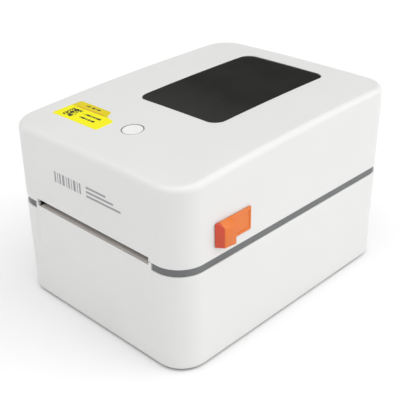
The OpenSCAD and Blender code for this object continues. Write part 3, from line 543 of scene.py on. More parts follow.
class Solid:
    """A closed surface of one or more parts, gathered as arrays before they become one mesh."""

    def __init__(self) -> None:
        """Starts empty."""
        self.points: list[np.ndarray] = []
        self.faces: list[list[int]] = []
        self.count = 0

    def add(self, points: np.ndarray, faces: list) -> "Solid":
        """Adds a part's points and faces.

        Args:
            points: one row of x, y, z for each point.
            faces: lists of point numbers.

        Returns:
            This solid.
        """
        self.faces += [[i + self.count for i in face] for face in faces]
        self.points.append(points)
        self.count += len(points)
        return self

    def merge(self, parts: list["Solid"]) -> "Solid":
        """Adds other solids, each as a closed part of its own.

        Args:
            parts: the other solids.

        Returns:
            This solid.
        """
        for part in parts:
            self.add(np.concatenate(part.points), part.faces)
        return self

    def rings(self, rings: np.ndarray, loop: bool = False) -> "Solid":
        """Adds a surface through closed rings, capped flat at both ends unless it loops.

        Args:
            rings: points by ring, then by place round the ring.
            loop: the last ring joins the first.

        Returns:
            This solid.
        """
        count, around = rings.shape[:2]
        points = rings.reshape(-1, 3)
        quads = grid_faces(count, around, wrap_rows=loop)
        ends = [] if loop else [list(range(around))[::-1], list(range((count - 1) * around, count * around))]
        whole = quads
        if not loop:
            fans = [[[e[0], e[k], e[k + 1], e[k + 1]] for k in range(1, around - 1)] for e in ends]
            whole = np.concatenate([quads, *[np.array(f) for f in fans]])
        faces = quads.tolist() + ends
        if signed_volume(points, whole) < 0:
            faces = [f[::-1] for f in faces]
        return self.add(points, faces)

    def make(self, name: str, smooth_deg: float = 32.0) -> bpy.types.Object:
        """Makes the object."""
        return make_object(name, np.concatenate(self.points), self.faces, smooth_deg)


class Facing(Enum):
    """Which way a drawn outline is raised: its own u, v and height as x, y, z."""

    UP = (0, 1, 2)
    RIGHT = (2, 0, 1)
    BACK = (0, 2, 1)

    def place(self, flat: np.ndarray) -> np.ndarray:
        """Turns points of u, v, height into x, y, z."""
        return flat[..., list(self.value)]


def quarter(radius: float, count: int, back: bool = False) -> list[tuple[float, float]]:
    """Steps of a quarter circle, as (inset, drop) pairs.

    Args:
        radius: radius of the circle.
        count: number of steps.
        back: the pairs run from (0, radius) to (radius, 0), and not from (radius, 0) to (0, radius).

    Returns:
        The pairs.
    """
    angles = np.linspace(math.pi / 2, 0, count) if back else np.linspace(0, math.pi / 2, count)
    return [(radius * (1 - math.sin(a)), radius * (1 - math.cos(a))) for a in angles]


def box_outline(low: tuple, high: tuple, radius: float = 0.0, steps: int = 5) -> np.ndarray:
    """A rectangle with round corners, anticlockwise: each corner is a quarter circle.

    Args:
        low: lowest u and v.
        high: highest u and v.
        radius: radius of the corners.
        steps: points of each corner.

    Returns:
        The outline, one row of u, v for each point.
    """
    (u0, v0), (u1, v1) = low, high
    r = max(radius, 1e-3)
    angles = np.linspace(0, math.pi / 2, steps if radius else 2)
    corners = [(u1 - r, v0 + r, -math.pi / 2), (u1 - r, v1 - r, 0), (u0 + r, v1 - r, math.pi / 2),
               (u0 + r, v0 + r, math.pi)]
    arcs = [np.stack([cu + r * np.cos(start + angles), cv + r * np.sin(start + angles)], -1)
            for cu, cv, start in corners]
    return np.concatenate(arcs)


def circle_outline(centre: tuple, radius: float, steps: int = 48) -> np.ndarray:
    """A circle, anticlockwise."""
    angles = np.arange(steps) / steps * 2 * math.pi
    return np.stack([centre[0] + radius * np.cos(angles), centre[1] + radius * np.sin(angles)], -1)


def soften_corners(points: list, radius: float, steps: int = 5) -> np.ndarray:
    """Rounds a polygon's corners.

    Args:
        points: the corners, in order.
        radius: how far from its corner each curve starts and ends, less on a short side.
        steps: points of each corner's quadratic curve.

    Returns:
        The outline, one row of u, v for each point.
    """
    corner = np.array(points, float)
    before, after = np.roll(corner, 1, 0) - corner, np.roll(corner, -1, 0) - corner
    reach_in = np.minimum(radius, np.linalg.norm(before, axis=1) * 0.45)[:, None]
    reach_out = np.minimum(radius, np.linalg.norm(after, axis=1) * 0.45)[:, None]
    start = corner + before / np.linalg.norm(before, axis=1, keepdims=True) * reach_in
    end = corner + after / np.linalg.norm(after, axis=1, keepdims=True) * reach_out
    t = np.linspace(0, 1, steps)[None, :, None]
    curve = (1 - t) ** 2 * start[:, None] + 2 * t * (1 - t) * corner[:, None] + t ** 2 * end[:, None]
    return curve.reshape(-1, 2)


def shrink(outline: np.ndarray, inset: float) -> np.ndarray:
    """Moves an anticlockwise outline inwards: each point goes along the mean of its two sides' normals.

    Args:
        outline: the points, one row of u, v each.
        inset: how far each side moves.

    Returns:
        The moved points; at a very sharp corner they stop short.
    """
    before = outline - np.roll(outline, 1, 0)
    after = np.roll(outline, -1, 0) - outline
    normals = []
    for side in (before, after):
        length = np.linalg.norm(side, axis=1, keepdims=True)
        normals.append(np.stack([-side[:, 1], side[:, 0]], -1) / np.maximum(length, 1e-9))
    mean = normals[0] + normals[1]
    sharpest = 0.35
    mean /= np.maximum((mean * normals[0]).sum(1, keepdims=True), sharpest)
    return outline + mean * inset


def prism(outline: np.ndarray, low: float, high: float, edge: float = 0.3, facing: Facing = Facing.UP,
          segments: int = 3) -> Solid:
    """A raised outline whose two rims are rounded by a quarter circle.

    Args:
        outline: its points, anticlockwise.
        low: height of its lower face.
        high: height of its upper face.
        edge: radius of the rims.
        facing: which way it is raised.
        segments: steps round each rim.

    Returns:
        The closed solid.
    """
    angles = np.linspace(0, math.pi / 2, segments + 1)
    inset, rise = edge * (1 - np.sin(angles)), edge * (1 - np.cos(angles))
    cap = edge * 1.3
    levels = [(cap, low), *zip(inset, low + rise), *zip(inset[::-1], high - rise[::-1]), (cap, high)]
    rings = [np.column_stack([shrink(outline, i), np.full(len(outline), z)]) for i, z in levels]
    return Solid().rings(facing.place(np.array(rings)))


def revolve(profile: list, centre: tuple, facing: Facing = Facing.UP, steps: int = 64) -> Solid:
    """A turned solid.

    Args:
        profile: pairs of a radius and a height.
        centre: u and v of the axis, and the height that the profile's 0 stands at.
        facing: which way the axis points.
        steps: points of each ring.

    Returns:
        The closed solid.
    """
    radius, height = np.array(profile, float).T
    angles = np.arange(steps) / steps * 2 * math.pi
    u, v = centre[0] + radius[:, None] * np.cos(angles), centre[1] + radius[:, None] * np.sin(angles)
    flat = np.stack([u, v, np.broadcast_to((centre[2] + height)[:, None], u.shape)], -1)
    return Solid().rings(facing.place(flat))


def coil(centre: tuple, radius: float, wire: float, length: float, turns: float, facing: Facing) -> Solid:
    """A spring: a round wire along a helix whose last turn at each end lies flat, as ground springs do.

    Args:
        centre: u and v of the axis, and the height of the lower end.
        radius: radius of the helix.
        wire: radius of the wire.
        length: height of the spring.
        turns: number of turns.
        facing: which way the axis points.

    Returns:
        The closed solid.
    """
    t = np.linspace(0, 1, int(turns * 20) + 1)
    angle = t * turns * 2 * math.pi
    dead = 0.9 / turns
    rise = np.interp(t, [0, dead, 1 - dead, 1], [wire, 2.6 * wire, length - 2.6 * wire, length - wire])
    around = np.arange(8) / 8 * 2 * math.pi
    q = radius + wire * np.cos(around)[None, :]
    flat = np.stack([centre[0] + q * np.cos(angle)[:, None], centre[1] + q * np.sin(angle)[:, None],
                     centre[2] + rise[:, None] + wire * np.sin(around)[None, :]], -1)
    return Solid().rings(facing.place(flat))


def cut(obj: bpy.types.Object, *cutters: Solid) -> bpy.types.Object:
    """Cuts closed solids out of an object, and shades it again.

    Args:
        obj: the object.
        cutters: what is cut out of it, one after another.

    Returns:
        The same object.
    """
    for number, solid in enumerate(cutters):
        tool = solid.make(f"cutter_{number}")
        modifier = obj.modifiers.new("cut", "BOOLEAN")
        modifier.operation, modifier.solver, modifier.object = "DIFFERENCE", "EXACT", tool
        bpy.context.view_layer.update()
        made = bpy.data.meshes.new_from_object(obj.evaluated_get(bpy.context.evaluated_depsgraph_get()))
        obj.modifiers.clear()
        old, obj.data = obj.data, made
        bpy.data.meshes.remove(old)
        bpy.data.objects.remove(tool)
    obj.data.shade_smooth()
    obj.data.set_sharp_from_angle(angle=math.radians(32))
    return obj


def dress(obj: bpy.types.Object, coat: Coat, body: str, slot: str, *nodes: str) -> bpy.types.Object:
    """Gives a new piece its finish and body, and hides the CAD nodes it stands for.

    Args:
        obj: the piece.
        coat: the finish.
        body: the CAD body it rides on.
        slot: not used.
        nodes: the CAD nodes it stands for, if any.

    Returns:
        The same piece.
    """
    obj.data.materials.clear()
    obj.data.materials.append(PAINTS.get(coat))
    if nodes:
        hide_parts(*nodes)
    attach(obj, body)
    LOG.info("%s: %d faces, rides on %s", obj.name, len(obj.data.polygons), body)
    return obj


def paint_node(node: str, coat: Coat) -> None:
    """Gives a CAD node that stays its finish.

    Args:
        node: the CAD node.
        coat: the finish.
    """
    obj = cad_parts[node]
    if obj.data.materials:
        obj.data.materials[0] = PAINTS.get(coat)
    else:
        obj.data.materials.append(PAINTS.get(coat))
    LOG.info("%s: CAD shape kept", node)


def softened(node: str, edge: float, coat: Coat, body: str, slot: str, segments: int = 2) -> bpy.types.Object:
    """A copy of a CAD node with its edges rounded as a mould or a deburring tool leaves them.

    Args:
        node: the CAD node, which the copy stands for.
        edge: radius of the rounded edges, in millimetres.
        coat: the finish.
        body: the CAD body it rides on.
        slot: not used.
        segments: steps round each edge.

    Returns:
        The new piece.
    """
    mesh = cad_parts[node].data.copy()
    mesh.name = node + "_soft"
    work = bmesh.new()
    work.from_mesh(mesh)
    bmesh.ops.remove_doubles(work, verts=work.verts, dist=2e-6)
    bmesh.ops.dissolve_limit(work, angle_limit=math.radians(1.0), verts=work.verts, edges=work.edges)
    work.to_mesh(mesh)
    work.free()
    for name in ("custom_normal", "sharp_face", "sharp_edge"):
        if name in mesh.attributes:
            mesh.attributes.remove(mesh.attributes[name])
    obj = adopt(node + "_soft", mesh)
    bevel = obj.modifiers.new("edges", "BEVEL")
    bevel.width, bevel.segments, bevel.limit_method = edge * MM, segments, "ANGLE"
    bevel.angle_limit, bevel.harden_normals = math.radians(40), True
    bevel.use_clamp_overlap = True
    return dress(obj, coat, body, slot, node)


# ---------------------------------------------------------------- the case


def corner_of(node: str) -> tuple[np.ndarray, np.ndarray]:
    """A CAD node's lowest and highest corners in millimetres."""
    low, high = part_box(node)
    return np.array(low) / MM, np.array(high) / MM


@dataclass
class Case:
    """The case's driving sizes, from the frame and the lid's own curve.

    The front panel's flange runs `panel_lap` past its face at each end, and an ear `ear_w` wide stands on
    each end of the face. The label slot lies between the ears. A point `near` the front or back is on it.
    """

    corner_r: float = 21.0
    wall: float = 2.5
    lid_front_h: float = 55.4
    lid_back_h: float = 63.3
    lid_crown: float = 2.5
    lid_camber: float = 1.3
    panel_lap: float = 3.0
    ear_w: float = 2.2
    near: float = 0.01
    half_w: float = field(init=False)
    half_d: float = field(init=False)
    base_z: float = field(init=False)
    base_top: float = field(init=False)
    lid_z: float = field(init=False)

    def __post_init__(self) -> None:
        """Reads the case's box from the frame."""
        low, high = corner_of("base_housing")
        self.half_w, self.half_d = float(high[0]), float(high[1])
        self.base_z, self.base_top = float(low[2]), float(high[2])
        self.lid_z = float(corner_of("lid_shell")[0][2])

    def top(self, x: np.ndarray, y: np.ndarray) -> np.ndarray:
        """Height of the lid's skin: a slope from front to back, arched by parabolas along Y and across X.

        Args:
            x: distances to the right of the middle.
            y: distances behind the middle.

        Returns:
            The heights.
        """
        share = (y + self.half_d) / (2 * self.half_d)
        slope = self.lid_front_h + (self.lid_back_h - self.lid_front_h) * share
        arch = self.lid_crown * (1 - (y / self.half_d) ** 2)
        camber = self.lid_camber * (1 - (x / self.half_w) ** 2)
        return self.lid_z + slope + arch + camber

    def panel_half(self) -> float:
        """Half the width of the front panel's face."""
        return float(corner_of("front_panel")[1][0]) - self.panel_lap

    def slot_half(self) -> float:
        """Half the label slot's width."""
        return self.panel_half() - self.ear_w

    def on_front(self, plan: np.ndarray) -> np.ndarray:
        """Which points of a plan lie on the flat front."""
        return plan[:, 1] < -self.half_d + self.near

    def on_back(self, plan: np.ndarray) -> np.ndarray:
        """Which points of a plan lie on the flat back."""
        return plan[:, 1] > self.half_d - self.near

    def on_skin(self, plan: np.ndarray, drop: float = 0.0) -> np.ndarray:
        """Points of a plan, one row of x, y each, laid on the lid's skin or a drop below it."""
        return np.column_stack([plan, self.top(plan[:, 0], plan[:, 1]) - drop])


@dataclass
class Outline:
    """A rounded rectangle walked anticlockwise from the front left, side by side and corner by corner.

    Two outlines walked with the same stops match point for point.
    """

    half_w: float
    half_d: float
    radius: float
    centre_y: float = 0.0

    def walk(self, front: np.ndarray, side: np.ndarray, back: np.ndarray,
             turn: np.ndarray) -> tuple[np.ndarray, np.ndarray]:
        """Points and outward normals.

        Args:
            front: stops along the front side, from -1 at its left end to 1 at its right.
            side: stops along each side, from -1 to 1.
            back: stops along the back, from -1 at its right end to 1 at its left.
            turn: stops round each corner, from 0 to 1.

        Returns:
            The points and the normals, one row of x, y each.
        """
        flat_w, flat_d = self.half_w - self.radius, self.half_d - self.radius
        points, normals = [], []
        plan = [(front, 0, -1), (side, 1, 0), (back, 0, 1), (side, -1, 0)]
        for stops, nx, ny in plan:
            along = np.array([-ny, nx])
            flat = flat_w if ny else flat_d
            out = np.array([nx * self.half_w, ny * self.half_d])
            points.append(out + stops[:, None] * along * flat)
            normals.append(np.tile([nx, ny], (len(stops), 1)))
            start = math.atan2(ny, nx)
            angles = start + turn[1:-1] * math.pi / 2
            ray = np.stack([np.cos(angles), np.sin(angles)], -1)
            hub = out - np.array([nx, ny]) * self.radius + along * flat
            points.append(hub + ray * self.radius)
            normals.append(ray)
        return np.concatenate(points) + [0, self.centre_y], np.concatenate(normals)


def stops(count: int, *extra: float) -> np.ndarray:
    """Even stops from -1 to 1 with extra ones among them.

    Args:
        count: number of even stops.
        extra: further stops.

    Returns:
        All of them in order.
    """
    return np.unique(np.round(np.concatenate([np.linspace(-1, 1, count), extra]), 7))


@dataclass
class Lid:
    """The lid's white shell and what is fixed in it: window, liner, mark and sticker.

    The window's pane lies on a `ledge` inside the shell's opening, `pane_gap` clear of its edge. The shell's
    foot is lifted over the label slot and round the hinge's fixed `knuckles`, which stand between those two
    distances from the middle.
    """

    case: Case
    edge_r: float = 4.2
    rim: float = 0.35
    opening_edge: float = 0.45
    ledge: float = 3.0
    pane_r: float = 9.0
    pane_gap: float = 0.25
    inner_r: float = 1.6
    slot_lift: float = 2.85
    knuckle_lift: float = 7.5
    knuckles: tuple[float, float] = (60.2, 64.8)

    def skin(self) -> bpy.types.Object:
        """The shell as one closed band: up the wall, over the top to the window's opening and back inside.

        Each ring of the band is the case's outline drawn in by an offset; over the top it melts into the
        window's outline. The height is the lid's curve less a quarter circle at the edge.

        Returns:
            The shell.
        """
        case = self.case
        window_low, window_high = corner_of("lid_window")
        flat_w = case.half_w - case.corner_r
        slot, notch = case.slot_half() / flat_w, [x / flat_w for x in self.knuckles]
        tiny = case.near / flat_w
        front = stops(31, slot - tiny, slot + tiny, -slot - tiny, -slot + tiny)
        back = stops(31, *[s * n + t for s in (-1, 1) for n in notch for t in (-tiny, tiny)])
        side, turn = stops(41), np.linspace(0, 1, 23)
        outer, normal = Outline(case.half_w, case.half_d, case.corner_r).walk(front, side, back, turn)
        half_w = (window_high[0] - window_low[0]) / 2 - self.ledge + self.pane_gap
        half_d = (window_high[1] - window_low[1]) / 2 - self.ledge + self.pane_gap
        middle, hole_r = float(window_low[1] + window_high[1]) / 2, self.pane_r + self.pane_gap
        hole, hole_normal = Outline(half_w, half_d, hole_r, middle).walk(front, side, back, turn)
        low = self.foot(outer)

        rings, rim, edge, wall, inner_r = [], self.rim, self.opening_edge, case.wall, self.inner_r
        skin = case.top(outer[:, 0], outer[:, 1])
        for inset, rise in quarter(rim, 4):
            rings.append(np.column_stack([outer - normal * inset, low + rise]))
        for share in np.linspace(0, 1, 14)[1:-1]:
            rings.append(np.column_stack([outer, low + rim + (skin - self.edge_r - low - rim) * share]))
        for drop, inset in quarter(self.edge_r, 12):
            rings.append(case.on_skin(outer - normal * inset, drop))
        shoulder, lip = outer - normal * self.edge_r, hole + hole_normal * edge
        for share in np.linspace(0, 1, 26)[1:]:
            rings.append(case.on_skin(shoulder + (lip - shoulder) * share))
        for inset, drop in quarter(edge, 4)[1:]:
            rings.append(case.on_skin(hole + hole_normal * inset, drop))
        inside = outer - normal * (wall + inner_r)
        for share in np.linspace(0, 1, 12):
            rings.append(case.on_skin(hole + (inside - hole) * share, wall))
        for drop, inset in quarter(inner_r, 5, back=True)[1:]:
            rings.append(case.on_skin(outer - normal * (wall + inset), wall + drop))
        reach = skin - wall - inner_r
        for share in np.linspace(1, 0, 8)[1:-1]:
            rings.append(np.column_stack([outer - normal * wall, low + rim + (reach - low - rim) * share]))
        for inset, rise in quarter(rim, 4, back=True):
            rings.append(np.column_stack([outer - normal * (wall - inset), low + rise]))
        shell = Solid().rings(np.array(rings), loop=True).make("lid_shell_skin", 40)
        return cut(shell, *self.cutters())

    def foot(self, outer: np.ndarray) -> np.ndarray:
        """Height of the wall's lower rim: raised over the label slot and round the hinge's fixed knuckles.

        Args:
            outer: the wall's outline, one row of x, y for each point.

        Returns:
            The rim's height at each point.
        """
        case = self.case
        low = np.full(len(outer), case.lid_z)
        at_front, at_back = case.on_front(outer), case.on_back(outer)
        across = np.abs(outer[:, 0])
        low[at_front & (across < case.slot_half())] += self.slot_lift
        low[at_back & (across > self.knuckles[0]) & (across < self.knuckles[1])] += self.knuckle_lift
        return low

    def cutters(self) -> list[Solid]:
        """The button's hole and the two latch openings.

        Returns:
            The closed solids to cut out of the shell.
        """
        ring_low, ring_high = corner_of("button_ring")
        centre = (ring_low + ring_high) / 2
        radius = float(ring_high[0] - ring_low[0]) / 2
        hole = prism(circle_outline((centre[0], centre[1]), radius, 96), centre[2] - 30, centre[2] + 30, 0.01)
        latch_low, latch_high = corner_of("latch_right")
        stem_low = (latch_low[1] + 2.5, latch_high[2] - 12.4)
        stem_high = (latch_low[1] + 19.5, latch_high[2] - 4.6)
        outline, inside, outside = box_outline(stem_low, stem_high, 0.4), 80, 90
        sides = [prism(outline, *sorted((s * inside, s * outside)), 0.01, Facing.RIGHT) for s in (-1, 1)]
        return [hole, *sides]

    def inner_features(self) -> bpy.types.Object:
        """Hinge knuckles, latch rails and screw posts that stand on the shell's inside.

        Returns:
            The piece.
        """
        case = self.case
        pin_low, pin_high = corner_of("hinge_pins")
        y, z = float(pin_low[1] + pin_high[1]) / 2, float(pin_low[2] + pin_high[2]) / 2
        latch_top = float(corner_of("latch_right")[1][2])
        low_rail, high_rail, rail = latch_top - 18.2, latch_top - 0.8, 1.6
        eye_r, back, front, stop = 3.2, -58.0, -90.0, 2.0
        rails = [(4.9, front, back, low_rail, low_rail + rail),
                 (5.2, front, back, high_rail, high_rail + rail),
                 (6.2, front - stop, front, low_rail, high_rail + rail),
                 (6.2, back - 0.1 - rail, back - 0.1, low_rail, high_rail + rail)]
        parts = []
        for s in (-1, 1):
            x0, x1 = sorted((s * self.knuckles[1], s * 69.5))
            corners = [(y - eye_r, z), (y - eye_r, z + 8), (y + 1.2, z + 9), (y + 1.6, z - 1)]
            parts.append(prism(soften_corners(corners, 0.6)[::-1], x0, x1, 0.3, Facing.RIGHT))
            parts.append(prism(circle_outline((y, z), eye_r), x0, x1, 0.3, Facing.RIGHT))
            for start, y0, y1, z0, z1 in rails:
                u0, u1 = sorted((s * (case.half_w - start), s * (case.half_w - 2.3)))
                parts.append(prism(box_outline((u0, y0), (u1, y1), 0.3), z0, z1, 0.25))
        mount_top = corner_of("head_mount")[1][2]
        posts = [(50, -90, mount_top, 4.0), (10, -65, 127.0, 2.5), (59.5, -49, 127.4, 3.0),
                 (59.5, 97, 132.0, 3.0)]
        for x, y_at, z_at, r in posts:
            for s in (-1, 1):
                peak = float(case.top(np.array(x), np.array(y_at))) - 1.5
                profile = [(r - 0.3, 0), (r, 0.3), (r + 0.4, peak - z_at - 2), (r + 1.5, peak - z_at)]
                parts.append(revolve(profile, (s * x, y_at, z_at), steps=32))
        return Solid().merge(parts).make("lid_inner_features")

    def pane(self) -> bpy.types.Object:
        """The smoked window, a little sunk: rings on the lid's curve that shrink to the window's middle.

        Returns:
            The pane.
        """
        case = self.case
        low, high = corner_of("lid_window")
        sink, edge, seat, under = 0.3, 0.5, 2.7, 4.5
        front, side, turn = stops(21), stops(31), np.linspace(0, 1, 17)
        middle = float(low[1] + high[1]) / 2
        half_w, half_d = (high[0] - low[0]) / 2, (high[1] - low[1]) / 2
        walk = (front, side, front, turn)
        wide = Outline(half_w, half_d, self.pane_r + self.ledge, middle).walk(*walk)[0]
        pane, pane_normal = Outline(half_w - self.ledge, half_d - self.ledge, self.pane_r, middle).walk(*walk)
        centre = np.array([0, middle])
        body = pane - pane_normal * edge
        layers = [(centre + (body - centre) * share, sink) for share in np.linspace(0.02, 1, 22)]
        layers += [(pane - pane_normal * inset, sink + drop) for inset, drop in quarter(edge, 5)[1:]]
        layers += [(pane, seat), (wide, seat), (wide, under)]
        layers += [(centre + (wide - centre) * share, under) for share in np.linspace(1, 0.02, 8)]
        rings = [case.on_skin(plan, drop) for plan, drop in layers]
        return Solid().rings(np.array(rings)).make("lid_window_pane")

    def sticker(self) -> bpy.types.Object:
        """The yellow sticker: its outline shrinks ring by ring to its middle, laid on the lid's curve.

        Returns:
            The sticker, with its own UV map in millimetres from its lower left.
        """
        case = self.case
        low = corner_of("setup_sticker")[0]
        # measured from the case's front left corner
        corner = [(17, 27.4), (67, 27), (66.8, 42.8), (56.3, 45.6), (53.4, 52.6), (18.4, 53.4)]
        outline = soften_corners([(x - case.half_w, y - case.half_d) for x, y in corner], 2.2, 7)
        # two more points on each side, so that the rings follow the curve between the corners
        thirds = np.array([0, 0.34, 0.67])[None, :, None]
        outline = (outline[:-1, None] * (1 - thirds) + outline[1:, None] * thirds).reshape(-1, 2)
        centre = outline.mean(0)
        proud, under = -0.13, 0.1
        layers = [(share, proud) for share in (0.03, *np.linspace(0.1, 0.995, 16))]
        layers += [(1.0, -0.08), (1.0, under), *[(share, under) for share in np.linspace(0.9, 0.03, 6)]]
        rings = [case.on_skin(centre + (outline - centre) * share, drop) for share, drop in layers]
        obj = Solid().rings(np.array(rings)).make("setup_sticker_sheet")
        layer = obj.data.uv_layers.new(name="Sheet")
        at = np.zeros(len(obj.data.vertices) * 3)
        obj.data.vertices.foreach_get("co", at)
        at = at.reshape(-1, 3) / MM
        loops = np.zeros(len(obj.data.loops), int)
        obj.data.loops.foreach_get("vertex_index", loops)
        sheet = at[loops, :2] - [float(low[0]), float(low[1])]
        layer.data.foreach_set("uv", sheet.ravel())
        return obj

    def mark(self) -> bpy.types.Object:
        """The printed symbol on the front: upright bars and ruled lines, a film thick.

        Returns:
            The print.
        """
        low, high = corner_of("front_mark")
        bars = [(-34, 1.6), (-30.8, 0.8), (-28.6, 1.6), (-25.4, 2.4), (-21.2, 0.8), (-19, 1.6),
                (-15.8, 0.8), (-13.4, 2.4), (-9.4, 0.8), (-7.2, 1.6)]
        boxes = [((x, low[2]), (x + w, high[2])) for x, w in bars]
        boxes += [((0, low[2] + i * 3.2), (34 - i * 7, low[2] + i * 3.2 + 1.6)) for i in range(3)]
        film, face = 0.05, -self.case.half_d
        parts = [prism(box_outline(a, b, 0.15, 3), face - film, face + 0.2, 0.02, Facing.BACK)
                 for a, b in boxes]
        return Solid().merge(parts).make("front_mark_print")

    def build(self) -> None:
        """Makes and dresses every piece of the lid."""
        dress(self.skin(), Coat.WHITE_ABS, "lid", "white_abs", "lid_shell")
        dress(self.inner_features(), Coat.WHITE_ABS, "lid", "white_abs")
        dress(self.pane(), Coat.SMOKED_ACRYLIC, "lid", "smoked_window", "lid_window")
        dress(self.sticker(), Coat.YELLOW_PAPER, "lid", "sticker_yellow", "setup_sticker")
        dress(self.mark(), Coat.GREY_INK, "lid", "mark_grey", "front_mark")
        softened("lid_liner", 0.4, Coat.DARK_ABS, "lid", "dark_plastic")


@dataclass
class Button:
    """The feed button: a white cap in a thin grey ring, both following the lid's slope."""

    case: Case
    dish: float = 0.12

    def disc(self, profile: list, loop: bool, name: str, centre: np.ndarray) -> bpy.types.Object:
        """A turned profile laid on the lid's curve.

        Args:
            profile: pairs of a radius and a drop below the lid's skin.
            loop: the profile closes on itself, as a ring's does.
            name: the piece's name.
            centre: the middle of the button.

        Returns:
            The object.
        """
        rings = [self.case.on_skin(circle_outline(centre, radius, 96), drop) for radius, drop in profile]
        return Solid().rings(np.array(rings), loop=loop).make(name)

    def build(self) -> None:
        """Makes and dresses the cap and its ring."""
        low, high = corner_of("feed_button")
        centre, radius = (low + high) / 2, float(high[0] - low[0]) / 2
        ring_r = float(np.diff([c[0] for c in corner_of("button_ring")])[0]) / 2
        edge = 0.45
        shares = np.linspace(0.02, 1, 12)
        cap = [((radius - edge) * s, self.dish * (1 - s * s)) for s in shares]
        cap += [(radius - inset, drop) for inset, drop in quarter(edge, 6)[1:]]
        skirt, stem_r, stem = 4.0, 2.5, 8.0
        cap += [(radius, skirt), (stem_r, skirt), (stem_r, stem), (0.1, stem)]
        made = self.disc(cap, False, "feed_button_cap", centre)
        dress(made, Coat.CAP_ABS, "button", "white_abs", "feed_button")
        inner, tiny, deep = radius + 0.2, 0.12, 5.0
        ring = [(inner, deep), (inner, tiny), (inner + tiny, 0.0), (ring_r - tiny, 0.0), (ring_r, tiny),
                (ring_r, deep)]
        made = self.disc(ring, True, "button_ring_trim", centre)
        dress(made, Coat.RING, "lid", "ring_grey", "button_ring")


